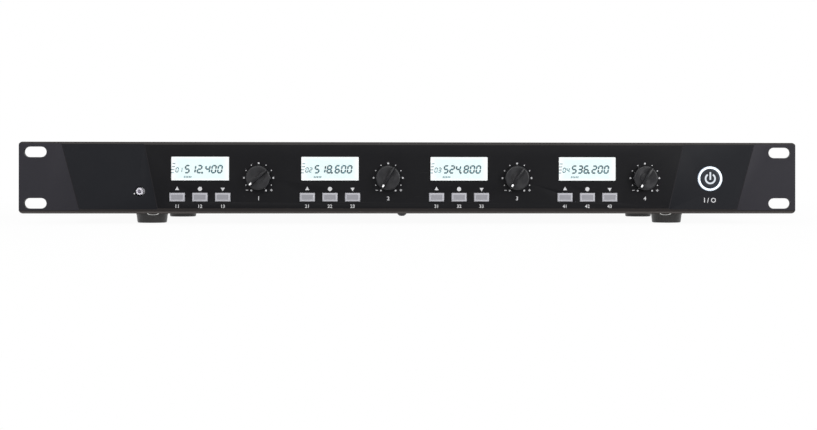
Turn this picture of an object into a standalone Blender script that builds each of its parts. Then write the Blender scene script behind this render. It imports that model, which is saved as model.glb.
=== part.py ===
"""A 19-inch, one-unit-high, four-channel wireless receiver, as an assembly of separate pieces.

Metres, +Z up, the front faces -Y. The origin is on the table, under the middle of the whole box.
Places are given as (x, depth, height): x from the panel's middle, depth behind the face of the
panel's centre plateau, and height from the panel's mid-line. The function at() turns them into
world coordinates.
"""

import math

import bmesh
import bpy
from mathutils import Matrix, Vector

# --- fits and stock -------------------------------------------------------------------------
GAP = 0.0003  # between pieces that touch or slide
SHEET = 0.0012  # folded steel
BOARD = 0.0016  # circuit board
OVERLAP = 0.0002  # how far joined shapes run into each other
MARGIN = 0.002  # how far a cutter runs past what it cuts
ROUND = 32  # sides of a round piece
ROUND_SMALL = 20  # sides of a small round piece
ROUND_TINY = 12  # sides of a contact pin

# --- front panel ----------------------------------------------------------------------------
PANEL_WIDTH = 0.4826
PANEL_HEIGHT = 0.0444
PANEL_CORNER = 0.002
EAR_THICKNESS = 0.004
PLATEAU_STEP = 0.0006  # each of the two steps from ear to centre
PLATEAU_SLOPE = 0.0007  # width of the sloping strip beside each step
TOP_CHAMFER = (0.0030, 0.0017)  # depth, height
BOTTOM_CHAMFER = (0.0034, 0.0032)
STEP_MARKS = (0.0205, -0.0190)  # heights at which the step lines below are measured
OUTER_STEP_INSETS = (0.0268, 0.0373)  # from the panel's ends
INNER_LEFT_INSETS = (0.0773, 0.0853)
INNER_RIGHT_INSETS = (0.0713, 0.0803)
PANEL_END = PANEL_WIDTH / 2
OUTER_STEP_LEFT = tuple(inset - PANEL_END for inset in OUTER_STEP_INSETS)
OUTER_STEP_RIGHT = tuple(PANEL_END - inset for inset in OUTER_STEP_INSETS)
INNER_STEP_LEFT = tuple(inset - PANEL_END for inset in INNER_LEFT_INSETS)
INNER_STEP_RIGHT = tuple(PANEL_END - inset for inset in INNER_RIGHT_INSETS)
EAR_FACE = 2 * PLATEAU_STEP  # depth of the ears' face
PANEL_BACK = EAR_FACE + EAR_THICKNESS

SLOT_LENGTH = 0.0140
SLOT_HEIGHT = 0.0065
SLOT_INSET = 0.0100  # from the panel's end to the slot's middle
SLOT_PITCH_Z = 0.03175

# --- four channels --------------------------------------------------------------------------
CHANNELS = 4
CHANNEL_INSETS = 0.1622  # what the panel's width leaves free beside the channels, in all
CHANNEL_PITCH = (PANEL_WIDTH - CHANNEL_INSETS) / CHANNELS
FIRST_DISPLAY_INSET = 0.1111  # from the panel's left end
FIRST_DISPLAY_X = FIRST_DISPLAY_INSET - PANEL_END
DISPLAY_HEIGHT = 0.0057
WINDOW_WIDTH = 0.0361
WINDOW_HEIGHT = 0.0152
WINDOW_CORNER = 0.0006
WINDOW_FACE = 0.0004  # depth of the window's face
WINDOW_THICKNESS = 0.0020
MODULE_RIM = 0.0028  # the display module's frame round the window

KEY_WIDTH = 0.00945
KEY_HEIGHT = 0.0054
KEY_PITCH = 0.0140
KEY_ROW_HEIGHT = -0.0120
KEY_PROUD = 0.0011  # how far the key stands out of the panel
KEY_BEVEL = 0.0007
KEY_FLANGE_RIM = 0.0009
KEY_FLANGE = 0.0010
KEY_TRAVEL = 0.0005
KEY_NAMES = ("up", "set", "down")
SWITCH_SIDE = 0.0060
SWITCH_BODY = 0.0034
SWITCH_PLUNGER = 0.0017  # radius

KNOB_OFFSET = 0.0361  # from the display's centre to the knob's
KNOB_RADIUS = 0.0078
KNOB_BACK = -0.0005  # depth of the knob's back face
KNOB_DISC = 0.0055
KNOB_GRIP_RISE = 0.0045  # the grip bar above the disc
KNOB_GRIP_WIDTH = 0.0033
KNOB_GRIP_INSET = 0.0006
KNOB_EDGE = 0.0007
KNOB_SOCKET = 0.0062  # depth of the shaft's socket in the knob
POINTER_ANGLES = (228.9, 210.3, 215.1, 212.1)  # clockwise from straight up
SHAFT_RADIUS = 0.0030
POT_SIDE = 0.0100
POT_FRONT = 0.0011  # from the panel's back to the potentiometer
POT_FLOOR = 0.0012  # thickness behind the shaft's end

# --- power button and infrared emitter ------------------------------------------------------
POWER_INSET = 0.0541  # from the panel's end
POWER_X = PANEL_END - POWER_INSET
POWER_HEIGHT = -0.0003
RING_OUTER = 0.00775
RING_INNER = 0.00615
RING_PROUD = 0.0002
RING_BACK_INSET = 0.0002
CAP_PROUD = 0.0010
CAP_DISC = 0.0042
CAP_EDGE = 0.0005
POWER_STEM_RADIUS = 0.0030
POWER_STEM = 0.0048
POWER_TRAVEL = 0.0015
POWER_SWITCH_SIDE = 0.0140

LED_LEAD = 0.0370  # from the emitter to the first display's centre
LED_X = FIRST_DISPLAY_X - LED_LEAD
LED_HEIGHT = -0.00845
LED_RADIUS = 0.00275
LED_PROUD = 0.0018
LED_COLLAR = 0.0010
LED_COLLAR_RIM = 0.0008

# --- boards ---------------------------------------------------------------------------------
FRONT_BOARD_DEPTH = 0.0120
FRONT_BOARD_INSET = 0.0170  # from the case's side
FRONT_BOARD_LOW = -0.0165
FRONT_BOARD_HIGH = 0.0170
POST_RADIUS = 0.0028
POST_LEAD = 0.0256  # from a post to the next display's centre
POST_HEIGHTS = (0.0110, -0.0110)

MAIN_BOARD_INSET = 0.0220  # from the case's side
MAIN_BOARD_STAND = 0.0060
MAIN_BOARD_REAR_CLEAR = 0.0088
STAND_RADIUS = 0.0035
STAND_COLUMNS = 3
STAND_ROWS = 2
STAND_INSET = 0.0100
HEADER_WIDTH = 0.0600
HEADER_SIDE = 0.0085
HEADER_LENGTH = 0.0040

TUNER_WIDTH = 0.0620
TUNER_LENGTH = 0.0740
TUNER_RISE = 0.0160
TUNER_EDGE = 0.0008
TUNER_FRONT = 0.0520
TUNER_PITCH = 0.0900

# --- chassis --------------------------------------------------------------------------------
EAR_WIDTH = 0.0243
CHASSIS_END = PANEL_END - EAR_WIDTH
CHASSIS_REAR = 0.2050  # depth of the rear wall's outer face
CHASSIS_TOP = 0.0214
CHASSIS_BOTTOM = -0.0218
FRONT_FLANGE = 0.0120
COVER_SKIRT = 0.0120
FOLD_RADIUS = 0.0010

FOOT_RADIUS = 0.0100
FOOT_RISE = 0.0064
FOOT_TAPER = 0.0008
FOOT_DISH = 0.0012
FOOT_DISH_RADIUS = 0.0050
FOOT_EDGE = 0.0008
FOOT_INSET = 0.0535  # from the case's side
FOOT_DEPTHS = {"front": 0.0280, "rear": 0.1780}

SCREW_X = -0.0058
SCREW_DEPTH = 0.0280
SCREW_HEAD_RADIUS = 0.0029
SCREW_HEAD = 0.0022
SCREW_RADIUS = 0.0015
SCREW_LENGTH = 0.0045
SCREW_RECESS_RADIUS = 0.0012
SCREW_RECESS = 0.0012

# --- rear sockets ---------------------------------------------------------------------------
SOCKET_HEIGHT = 0.0005
FLANGE_WIDTH = 0.0260  # of the outputs' common flange
FLANGE_HEIGHT = 0.0310
FLANGE = 0.0020
FLANGE_CORNER = 0.0030
BARREL_RADIUS = 0.0115
XLR_FIRST_X = -0.0900
XLR_PITCH = 0.0450
XLR_BARREL = 0.0200
XLR_CAVITY_RADIUS = 0.0093
XLR_CAVITY = 0.0170
XLR_PIN_RADIUS = 0.0012
XLR_PIN = 0.0115
XLR_PIN_CIRCLE = 0.0048
XLR_PIN_ANGLES = (0, 90, 180)
JACK_X = 0.0930
JACK_BARREL = 0.0300
JACK_BORE_RADIUS = 0.0033
JACK_BORE = 0.0300
DC_X = 0.1350
DC_BORE_RADIUS = 0.0029
DC_BORE = 0.0090
DC_PIN_RADIUS = 0.0010
DC_NECK_RADIUS = 0.0040
DC_RIM_RADIUS = 0.0054
DC_RIM = 0.0014
DC_BODY = 0.0110
DC_BODY_LENGTH = 0.0120
ANTENNA_INSET = 0.0270  # from the case's side
ANTENNA_NUT_RADIUS = 0.0072
ANTENNA_NUT = 0.0030
ANTENNA_BARREL_RADIUS = 0.0048
ANTENNA_REACH = 0.0130  # how far the socket stands out of the rear wall
ANTENNA_BORE_RADIUS = 0.0040
ANTENNA_BORE = 0.0085
ANTENNA_CORE_RADIUS = 0.0022
ANTENNA_CORE = 0.0060
ANTENNA_INNER = 0.0100
ANTENNA_INNER_RADIUS = 0.0042
LUG_RADIUS = 0.0010
LUG_RISE = 0.0008
LUG_INSET = 0.0042  # from the socket's mouth

# --- the frame ------------------------------------------------------------------------------
KNOB_FACE = KNOB_BACK - KNOB_DISC - KNOB_GRIP_RISE
ANTENNA_MOUTH = CHASSIS_REAR + ANTENNA_REACH
FACE_Y = -(KNOB_FACE + ANTENNA_MOUTH) / 2
MID_Z = FOOT_RISE + GAP - CHASSIS_BOTTOM
FACING_FRONT = Matrix.Rotation(math.radians(90), 4, "X")  # a turned piece's +Z now points to -Y
FACING_REAR = Matrix.Rotation(math.radians(-90), 4, "X")
UPRIGHT = Matrix.Identity(4)

parts = bpy.data.collections.new("wireless_receiver")
cutters = bpy.data.collections.new("cutters")


# --- places ---------------------------------------------------------------------------------
def at(x, depth, height):
    return Vector((x, FACE_Y + depth, MID_Z + height))


def display_x(channel):
    return FIRST_DISPLAY_X + CHANNEL_PITCH * channel


def knob_x(channel):
    return display_x(channel) + KNOB_OFFSET


def key_x(channel, place):
    middle = (len(KEY_NAMES) - 1) / 2
    return display_x(channel) + KEY_PITCH * (place - middle)


def step_x(marks, height):
    """Where a step line, given by its x at the two marked heights, crosses another height."""
    share = (height - STEP_MARKS[0]) / (STEP_MARKS[1] - STEP_MARKS[0])
    return marks[0] + share * (marks[1] - marks[0])


# --- tools ----------------------------------------------------------------------------------
def clear_scene():
    for thing in list(bpy.data.objects):
        bpy.data.objects.remove(thing)
    for group in (parts, cutters):
        bpy.context.scene.collection.children.link(group)


def paint(name, colour, roughness, metallic=0.0, alpha=1.0):
    """A Principled material in the piece's colour."""
    made = bpy.data.materials.new(name)
    made.use_nodes = True
    shader = made.node_tree.nodes["Principled BSDF"]
    shader.inputs["Base Color"].default_value = (*colour, 1.0)
    shader.inputs["Roughness"].default_value = roughness
    shader.inputs["Metallic"].default_value = metallic
    shader.inputs["Alpha"].default_value = alpha
    return made


def add_block(shape, low, high):
    """A box between two corners."""
    size = Vector(high) - Vector(low)
    middle = (Vector(high) + Vector(low)) / 2
    matrix = Matrix.Translation(middle) @ Matrix.Diagonal((*size, 1.0))
    return bmesh.ops.create_cube(shape, size=1.0, matrix=matrix)["verts"]


def add_rod(shape, start, end, radius, sides=ROUND_SMALL):
    """A round bar from one point to another."""
    along = Vector(end) - Vector(start)
    turn = Vector((0, 0, 1)).rotation_difference(along).to_matrix().to_4x4()
    matrix = Matrix.Translation((Vector(start) + Vector(end)) / 2) @ turn
    bmesh.ops.create_cone(
        shape,
        cap_ends=True,
        segments=sides,
        radius1=radius,
        radius2=radius,
        depth=along.length,
        matrix=matrix,
    )


def add_panel_block(shape, x_size, low_depth, high_depth, place):
    """A box on the panel: (width, height) round the place (x, height), between two depths."""
    width, tall = x_size
    x, height = place
    add_block(
        shape,
        at(x - width / 2, low_depth, height - tall / 2),
        at(x + width / 2, high_depth, height + tall / 2),
    )


def rounded_outline(width, height, radius, steps=4):
    """The corners of a rectangle with round corners, anticlockwise."""
    points = []
    for turn, (side_x, side_y) in enumerate(((1, 1), (-1, 1), (-1, -1), (1, -1))):
        centre = Vector((side_x * (width / 2 - radius), side_y * (height / 2 - radius)))
        for step in range(steps + 1):
            angle = math.radians(90 * (turn + step / steps))
            points.append(centre + radius * Vector((math.cos(angle), math.sin(angle))))
    return points


def add_outline(shape, points, thickness, matrix):
    """A flat outline as a plate: it rises from z = 0 by its thickness, then takes the matrix."""
    curve = bpy.data.curves.new("outline", "CURVE")
    curve.dimensions = "2D"
    curve.fill_mode = "BOTH"
    curve.extrude = thickness / 2
    spline = curve.splines.new("POLY")
    spline.points.add(len(points) - 1)
    for point, place in zip(spline.points, points):
        point.co = (place[0], place[1], 0.0, 1.0)
    spline.use_cyclic_u = True
    guide = bpy.data.objects.new("outline", curve)
    bpy.context.scene.collection.objects.link(guide)
    graph = bpy.context.evaluated_depsgraph_get()
    mesh = bpy.data.meshes.new_from_object(guide.evaluated_get(graph))
    bpy.data.objects.remove(guide)
    mesh.transform(matrix @ Matrix.Translation((0, 0, thickness / 2)))
    plate = bmesh.new()
    plate.from_mesh(mesh)
    bmesh.ops.remove_doubles(plate, verts=plate.verts, dist=GAP / 10)
    bmesh.ops.dissolve_limit(
        plate, angle_limit=math.radians(1), verts=plate.verts, edges=plate.edges
    )
    bmesh.ops.recalc_face_normals(plate, faces=plate.faces)
    plate.to_mesh(mesh)
    plate.free()
    shape.from_mesh(mesh)
    bpy.data.meshes.remove(mesh)


def add_slot_plate(shape, width, height, radius, low_depth, high_depth, place):
    """A plate with round corners, lying in the panel between two depths."""
    x, rise = place
    matrix = Matrix.Translation(at(x, high_depth, rise)) @ FACING_FRONT
    outline = rounded_outline(width, height, radius)
    add_outline(shape, outline, high_depth - low_depth, matrix)


def mesh_of(shape, name):
    """The finished mesh of a bmesh, which is freed."""
    mesh = bpy.data.meshes.new(name)
    shape.to_mesh(mesh)
    shape.free()
    return mesh


def place_object(name, mesh, group, location=(0, 0, 0), turn=UPRIGHT):
    made = bpy.data.objects.new(name, mesh)
    made.matrix_world = Matrix.Translation(location) @ turn
    group.objects.link(made)
    return made


def helper(shape, name, turn=UPRIGHT, location=(0, 0, 0)):
    """A cutter, or a shape to be joined, that a render leaves out."""
    made = place_object(name, mesh_of(shape, name), cutters, location, turn)
    made.hide_render = True
    made.display_type = "WIRE"
    return made


def combine(piece, tool, operation):
    modifier = piece.modifiers.new(operation.title(), "BOOLEAN")
    modifier.operation = operation
    modifier.object = tool
    modifier.solver = "EXACT"


def shade(mesh):
    mesh.shade_smooth()
    mesh.set_sharp_from_angle(angle=math.radians(30))


def settle(piece):
    """Applies the piece's modifiers, so that copies can share its mesh."""
    bpy.context.view_layer.update()
    graph = bpy.context.evaluated_depsgraph_get()
    mesh = bpy.data.meshes.new_from_object(piece.evaluated_get(graph))
    piece.modifiers.clear()
    piece.data = mesh
    shade(mesh)
    return piece


def finish(piece, material):
    """Gives the piece its material and applies what is left of its modifiers."""
    settle(piece)
    piece.data.materials.clear()
    piece.data.materials.append(material)
    return piece


def copy_of(piece, name, location):
    """Another object with the same mesh, turned alike."""
    made = piece.copy()
    made.name = name
    made.location = location
    parts.objects.link(made)
    return made


def turned(name, profile, location, turn, sides=ROUND, group=parts):
    """A piece turned about its own Z. The profile is (radius, z) down the outer side."""
    shape = bmesh.new()
    points = [shape.verts.new((radius, 0.0, z)) for radius, z in profile]
    for first, second in zip(points, points[1:]):
        shape.edges.new((first, second))
    made = place_object(name, mesh_of(shape, name), group, location, turn)
    screw = made.modifiers.new("Turn", "SCREW")
    screw.axis = "Z"
    screw.steps = sides
    screw.render_steps = sides
    screw.use_merge_vertices = True
    screw.merge_threshold = 0.00001
    return made


# --- front panel ----------------------------------------------------------------------------
def add_plateau(shape, left, right, face):
    """A raised field of the panel, wider at the top than at the bottom, with sloping sides."""
    corners = add_block(
        shape,
        at(-PANEL_END, face, -PANEL_HEIGHT / 2),
        at(PANEL_END, EAR_FACE + OVERLAP, PANEL_HEIGHT / 2),
    )
    for corner in corners:
        height = corner.co.z - MID_Z
        depth = corner.co.y - FACE_Y
        slope = PLATEAU_SLOPE * (depth - face) / PLATEAU_STEP
        if corner.co.x < 0:
            corner.co.x = step_x(left, height) - slope
        else:
            corner.co.x = step_x(right, height) + slope


def panel_section():
    """The panel's section, as (depth, height) points: both long front edges are chamfered."""
    top = PANEL_HEIGHT / 2
    return [
        (PANEL_BACK + MARGIN, -top),
        (PANEL_BACK + MARGIN, top),
        (TOP_CHAMFER[0], top),
        (0.0, top - TOP_CHAMFER[1]),
        (0.0, -top + BOTTOM_CHAMFER[1]),
        (BOTTOM_CHAMFER[0], -top),
    ]


def panel_section_solid():
    """The section run along the whole panel, which trims the slab and its plateaus."""
    shape = bmesh.new()
    along_x = Matrix.Rotation(math.radians(90), 4, "Z") @ Matrix.Rotation(math.radians(90), 4, "X")
    matrix = Matrix.Translation(at(-PANEL_WIDTH / 2 - MARGIN, 0, 0)) @ along_x
    add_outline(shape, panel_section(), PANEL_WIDTH + 2 * MARGIN, matrix)
    return helper(shape, "panel_section")


def panel_holes():
    """Rack slots and the holes for windows, keys, shafts, the power ring and the emitter."""
    shape = bmesh.new()
    front, back = -MARGIN, PANEL_BACK + MARGIN
    for side_x in (-1, 1):
        for side_z in (-1, 1):
            place = (side_x * (PANEL_END - SLOT_INSET), side_z * SLOT_PITCH_Z / 2)
            radius = SLOT_HEIGHT / 2 - OVERLAP / 10
            add_slot_plate(shape, SLOT_LENGTH, SLOT_HEIGHT, radius, front, back, place)
    for channel in range(CHANNELS):
        place = (display_x(channel), DISPLAY_HEIGHT)
        add_slot_plate(shape, WINDOW_WIDTH, WINDOW_HEIGHT, WINDOW_CORNER, front, back, place)
        for key in range(len(KEY_NAMES)):
            hole = (KEY_WIDTH + 2 * GAP, KEY_HEIGHT + 2 * GAP)
            add_panel_block(shape, hole, front, back, (key_x(channel, key), KEY_ROW_HEIGHT))
        add_rod(
            shape,
            at(knob_x(channel), front, 0),
            at(knob_x(channel), back, 0),
            SHAFT_RADIUS + GAP,
        )
    for x, height, radius in (
        (POWER_X, POWER_HEIGHT, RING_OUTER + GAP),
        (LED_X, LED_HEIGHT, LED_RADIUS + GAP),
    ):
        add_rod(shape, at(x, front, height), at(x, back, height), radius, ROUND)
    return helper(shape, "panel_holes")


def panel_posts():
    """The posts on the panel's back that carry the front board."""
    shape = bmesh.new()
    for column in range(-1, CHANNELS):
        for height in POST_HEIGHTS:
            x = display_x(column) + CHANNEL_PITCH - POST_LEAD
            start = at(x, PANEL_BACK - OVERLAP, height)
            add_rod(shape, start, at(x, FRONT_BOARD_DEPTH - GAP, height), POST_RADIUS)
    return helper(shape, "panel_posts")


def make_front_panel():
    shape = bmesh.new()
    add_slot_plate(
        shape, PANEL_WIDTH, PANEL_HEIGHT, PANEL_CORNER, EAR_FACE, PANEL_BACK, (0, 0)
    )
    panel = place_object("front_panel", mesh_of(shape, "front_panel"), parts)
    for name, left, right, face in (
        ("outer_plateau", OUTER_STEP_LEFT, OUTER_STEP_RIGHT, PLATEAU_STEP),
        ("inner_plateau", INNER_STEP_LEFT, INNER_STEP_RIGHT, 0.0),
    ):
        plateau = bmesh.new()
        add_plateau(plateau, left, right, face)
        combine(panel, helper(plateau, name), "UNION")
    combine(panel, panel_section_solid(), "INTERSECT")
    combine(panel, panel_posts(), "UNION")
    combine(panel, panel_holes(), "DIFFERENCE")
    finish(panel, paint("front_panel", (0.018, 0.018, 0.020), 0.45))


# --- displays -------------------------------------------------------------------------------
def make_windows():
    glass = paint("display_window", (0.85, 0.95, 0.95), 0.08, alpha=0.35)
    for channel in range(CHANNELS):
        shape = bmesh.new()
        place = (display_x(channel), DISPLAY_HEIGHT)
        add_slot_plate(
            shape,
            WINDOW_WIDTH - 2 * GAP,
            WINDOW_HEIGHT - 2 * GAP,
            WINDOW_CORNER,
            WINDOW_FACE,
            WINDOW_FACE + WINDOW_THICKNESS,
            place,
        )
        name = f"display_window_{channel + 1}"
        finish(place_object(name, mesh_of(shape, name), parts), glass)


def make_display_modules():
    """A lit module behind each window: a glass block in the opening, on a wider frame."""
    lit = paint("display_module", (0.80, 0.95, 0.95), 0.35)
    glass_front = WINDOW_FACE + WINDOW_THICKNESS + GAP
    frame_front = PANEL_BACK + GAP
    for channel in range(CHANNELS):
        place = (display_x(channel), DISPLAY_HEIGHT)
        frame = bmesh.new()
        size = (WINDOW_WIDTH + 2 * MODULE_RIM, WINDOW_HEIGHT + 2 * MODULE_RIM)
        add_panel_block(frame, size, frame_front, FRONT_BOARD_DEPTH - GAP, place)
        glass = bmesh.new()
        size = (WINDOW_WIDTH - 2 * GAP, WINDOW_HEIGHT - 2 * GAP)
        add_panel_block(glass, size, glass_front, frame_front + OVERLAP, place)
        name = f"display_module_{channel + 1}"
        module = place_object(name, mesh_of(frame, name), parts)
        combine(module, helper(glass, name + "_glass"), "UNION")
        finish(module, lit)


# --- keys -----------------------------------------------------------------------------------
def switch_front():
    """Depth of the tact switches' plungers: the key's travel and a gap behind its flange."""
    return PANEL_BACK + GAP + KEY_FLANGE + KEY_TRAVEL + GAP


def key_solid(name):
    """One key about its own origin, the middle of the panel's face: cap in front, flange behind."""
    shape = bmesh.new()
    half = Vector((KEY_WIDTH / 2, 0, KEY_HEIGHT / 2))
    back = Vector((0, PANEL_BACK + GAP + OVERLAP, 0))
    add_block(shape, -half - Vector((0, KEY_PROUD, 0)), half + back)
    front_edges = [
        edge
        for edge in shape.edges
        if all(corner.co.y < 0 for corner in edge.verts)
    ]
    bmesh.ops.bevel(
        shape, geom=front_edges, offset=KEY_BEVEL, segments=2, profile=0.5, affect="EDGES"
    )
    flange = bmesh.new()
    rim = Vector((KEY_FLANGE_RIM, 0, KEY_FLANGE_RIM))
    flange_front = Vector((0, PANEL_BACK + GAP, 0))
    add_block(
        flange, -half - rim + flange_front, half + rim + flange_front + Vector((0, KEY_FLANGE, 0))
    )
    key = place_object(name, mesh_of(shape, name), parts)
    combine(key, helper(flange, "key_flange"), "UNION")
    return finish(key, paint("key", (0.34, 0.34, 0.37), 0.40))


def make_keys():
    first = None
    for channel in range(CHANNELS):
        for place, word in enumerate(KEY_NAMES):
            name = f"key_{word}_{channel + 1}"
            location = at(key_x(channel, place), 0, KEY_ROW_HEIGHT)
            if first is None:
                first = key_solid(name)
                first.location = location
            else:
                copy_of(first, name, location)


# --- volume controls ------------------------------------------------------------------------
def knob_profile():
    """The knob's disc, from its bevelled face down the outer side to its back."""
    return [
        (0.0, KNOB_DISC),
        (KNOB_RADIUS - KNOB_EDGE, KNOB_DISC),
        (KNOB_RADIUS, KNOB_DISC - KNOB_EDGE),
        (KNOB_RADIUS, 0.0),
        (0.0, 0.0),
    ]


def knob_grip():
    """The bar across the knob's face, along the knob's own Y, with round ends."""
    shape = bmesh.new()
    length = 2 * (KNOB_RADIUS - KNOB_GRIP_INSET)
    corner = KNOB_GRIP_WIDTH / 3
    outline = rounded_outline(KNOB_GRIP_WIDTH, length, corner)
    matrix = Matrix.Translation((0, 0, KNOB_DISC - OVERLAP))
    add_outline(shape, outline, KNOB_GRIP_RISE + OVERLAP, matrix)
    return shape


def make_knobs():
    """Four knobs. Each has its origin on its shaft's axis and is turned to its pointer's place."""
    black = paint("volume_knob", (0.020, 0.020, 0.022), 0.42)
    for channel, angle in enumerate(POINTER_ANGLES):
        name = f"volume_knob_{channel + 1}"
        location = at(knob_x(channel), KNOB_BACK, 0)
        turn = FACING_FRONT @ Matrix.Rotation(math.radians(-angle), 4, "Z")
        knob = turned(name, knob_profile(), location, turn)
        combine(knob, helper(knob_grip(), name + "_grip", turn, location), "UNION")
        socket = bmesh.new()
        add_rod(socket, (0, 0, -MARGIN), (0, 0, KNOB_SOCKET), SHAFT_RADIUS + GAP)
        combine(knob, helper(socket, name + "_socket", turn, location), "DIFFERENCE")
        finish(knob, black)


def make_shafts():
    """Each shaft runs from inside its potentiometer, through the panel, into its knob."""
    steel = paint("volume_shaft", (0.55, 0.55, 0.56), 0.35, metallic=1.0)
    front = KNOB_BACK - KNOB_SOCKET + GAP
    back = FRONT_BOARD_DEPTH - GAP - POT_FLOOR - GAP
    for channel in range(CHANNELS):
        name = f"volume_shaft_{channel + 1}"
        shape = bmesh.new()
        add_rod(shape, (0, 0, 0), (0, back - front, 0), SHAFT_RADIUS)
        location = at(knob_x(channel), front, 0)
        finish(place_object(name, mesh_of(shape, name), parts, location), steel)


def make_pots():
    """Each potentiometer sits on the front board, round the end of its shaft."""
    metal = paint("volume_pot", (0.45, 0.45, 0.46), 0.40, metallic=1.0)
    front = PANEL_BACK + POT_FRONT
    back = FRONT_BOARD_DEPTH - GAP
    for channel in range(CHANNELS):
        x = knob_x(channel)
        name = f"volume_pot_{channel + 1}"
        shape = bmesh.new()
        add_panel_block(shape, (POT_SIDE, POT_SIDE), front, back, (x, 0))
        pot = place_object(name, mesh_of(shape, name), parts)
        bore = bmesh.new()
        start = at(x, front - MARGIN, 0)
        add_rod(bore, start, at(x, back - POT_FLOOR, 0), SHAFT_RADIUS + GAP)
        combine(pot, helper(bore, name + "_bore"), "DIFFERENCE")
        finish(pot, metal)


# --- power button, its ring and switch, and the emitter -------------------------------------
def make_power_ring():
    """The light ring lies in the panel, round the button's cap."""
    length = RING_PROUD + PANEL_BACK - RING_BACK_INSET
    profile = [
        (RING_INNER, length),
        (RING_OUTER, length),
        (RING_OUTER, 0.0),
        (RING_INNER, 0.0),
        (RING_INNER, length),
    ]
    location = at(POWER_X, PANEL_BACK - RING_BACK_INSET, POWER_HEIGHT)
    ring = turned("power_ring", profile, location, FACING_FRONT)
    finish(ring, paint("power_ring", (0.90, 0.93, 0.95), 0.30))


def make_power_button():
    """The cap and its stem. Its own Z runs along the travel, towards the viewer."""
    radius = RING_INNER - GAP
    profile = [
        (0.0, CAP_PROUD),
        (radius - CAP_EDGE, CAP_PROUD),
        (radius, CAP_PROUD - CAP_EDGE),
        (radius, CAP_PROUD - CAP_DISC),
        (POWER_STEM_RADIUS, CAP_PROUD - CAP_DISC),
        (POWER_STEM_RADIUS, CAP_PROUD - CAP_DISC - POWER_STEM),
        (0.0, CAP_PROUD - CAP_DISC - POWER_STEM),
    ]
    location = at(POWER_X, 0, POWER_HEIGHT)
    cap = turned("power_button", profile, location, FACING_FRONT)
    finish(cap, paint("power_button", (0.016, 0.016, 0.018), 0.35))


def make_power_switch():
    """The switch's housing, on the front board, takes the button's stem with its travel."""
    front = PANEL_BACK + GAP
    back = FRONT_BOARD_DEPTH - GAP
    shape = bmesh.new()
    side = (POWER_SWITCH_SIDE, POWER_SWITCH_SIDE)
    add_panel_block(shape, side, front, back, (POWER_X, POWER_HEIGHT))
    housing = place_object("power_switch", mesh_of(shape, "power_switch"), parts)
    bore = bmesh.new()
    bore_end = CAP_DISC - CAP_PROUD + POWER_STEM + POWER_TRAVEL + GAP
    start = at(POWER_X, front - MARGIN, POWER_HEIGHT)
    add_rod(bore, start, at(POWER_X, bore_end, POWER_HEIGHT), POWER_STEM_RADIUS + GAP)
    combine(housing, helper(bore, "power_switch_bore"), "DIFFERENCE")
    finish(housing, paint("power_switch", (0.05, 0.05, 0.05), 0.50))


def make_sync_led():
    """The clear emitter: a dome in front, a collar behind the panel, its body on the board."""
    collar_radius = LED_RADIUS + LED_COLLAR_RIM
    collar_front = -(PANEL_BACK + GAP)
    dome_steps = 5
    dome = []
    for step in range(dome_steps + 1):
        angle = math.radians(90 * (1 - step / dome_steps))
        dome.append((LED_RADIUS * math.cos(angle), LED_PROUD * math.sin(angle)))
    profile = dome + [
        (LED_RADIUS, collar_front),
        (collar_radius, collar_front),
        (collar_radius, collar_front - LED_COLLAR),
        (LED_RADIUS, collar_front - LED_COLLAR),
        (LED_RADIUS, GAP - FRONT_BOARD_DEPTH),
        (0.0, GAP - FRONT_BOARD_DEPTH),
    ]
    led = turned("sync_led", profile, at(LED_X, 0, LED_HEIGHT), FACING_FRONT, ROUND_SMALL)
    finish(led, paint("sync_led", (0.75, 0.78, 0.80), 0.10))


# --- boards and tuners ----------------------------------------------------------------------
def header_height():
    """Height of the plug that joins the two boards: it stands on the main board."""
    return main_board_top() + HEADER_SIDE / 2


def main_board_top():
    return CHASSIS_BOTTOM + SHEET + MAIN_BOARD_STAND + GAP + BOARD


def board_details():
    """What is soldered on the front board: tact switches under the keys, and the plug behind."""
    shape = bmesh.new()
    body_front = FRONT_BOARD_DEPTH - SWITCH_BODY
    for channel in range(CHANNELS):
        for key in range(len(KEY_NAMES)):
            x = key_x(channel, key)
            side = (SWITCH_SIDE, SWITCH_SIDE)
            back = FRONT_BOARD_DEPTH + OVERLAP
            add_panel_block(shape, side, body_front, back, (x, KEY_ROW_HEIGHT))
    add_panel_block(
        shape,
        (HEADER_WIDTH, HEADER_SIDE),
        FRONT_BOARD_DEPTH + BOARD - OVERLAP,
        FRONT_BOARD_DEPTH + BOARD + HEADER_LENGTH,
        (0, header_height()),
    )
    return helper(shape, "front_board_details")


def switch_plungers():
    shape = bmesh.new()
    body_front = FRONT_BOARD_DEPTH - SWITCH_BODY
    for channel in range(CHANNELS):
        for key in range(len(KEY_NAMES)):
            x = key_x(channel, key)
            start = at(x, switch_front(), KEY_ROW_HEIGHT)
            add_rod(shape, start, at(x, body_front + OVERLAP, KEY_ROW_HEIGHT), SWITCH_PLUNGER)
    return helper(shape, "front_board_plungers")


def make_front_board():
    shape = bmesh.new()
    add_block(
        shape,
        at(FRONT_BOARD_INSET - CHASSIS_END, FRONT_BOARD_DEPTH, FRONT_BOARD_LOW),
        at(CHASSIS_END - FRONT_BOARD_INSET, FRONT_BOARD_DEPTH + BOARD, FRONT_BOARD_HIGH),
    )
    board = place_object("front_board", mesh_of(shape, "front_board"), parts)
    combine(board, board_details(), "UNION")
    combine(board, switch_plungers(), "UNION")
    finish(board, paint("front_board", (0.02, 0.16, 0.06), 0.45))


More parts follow.
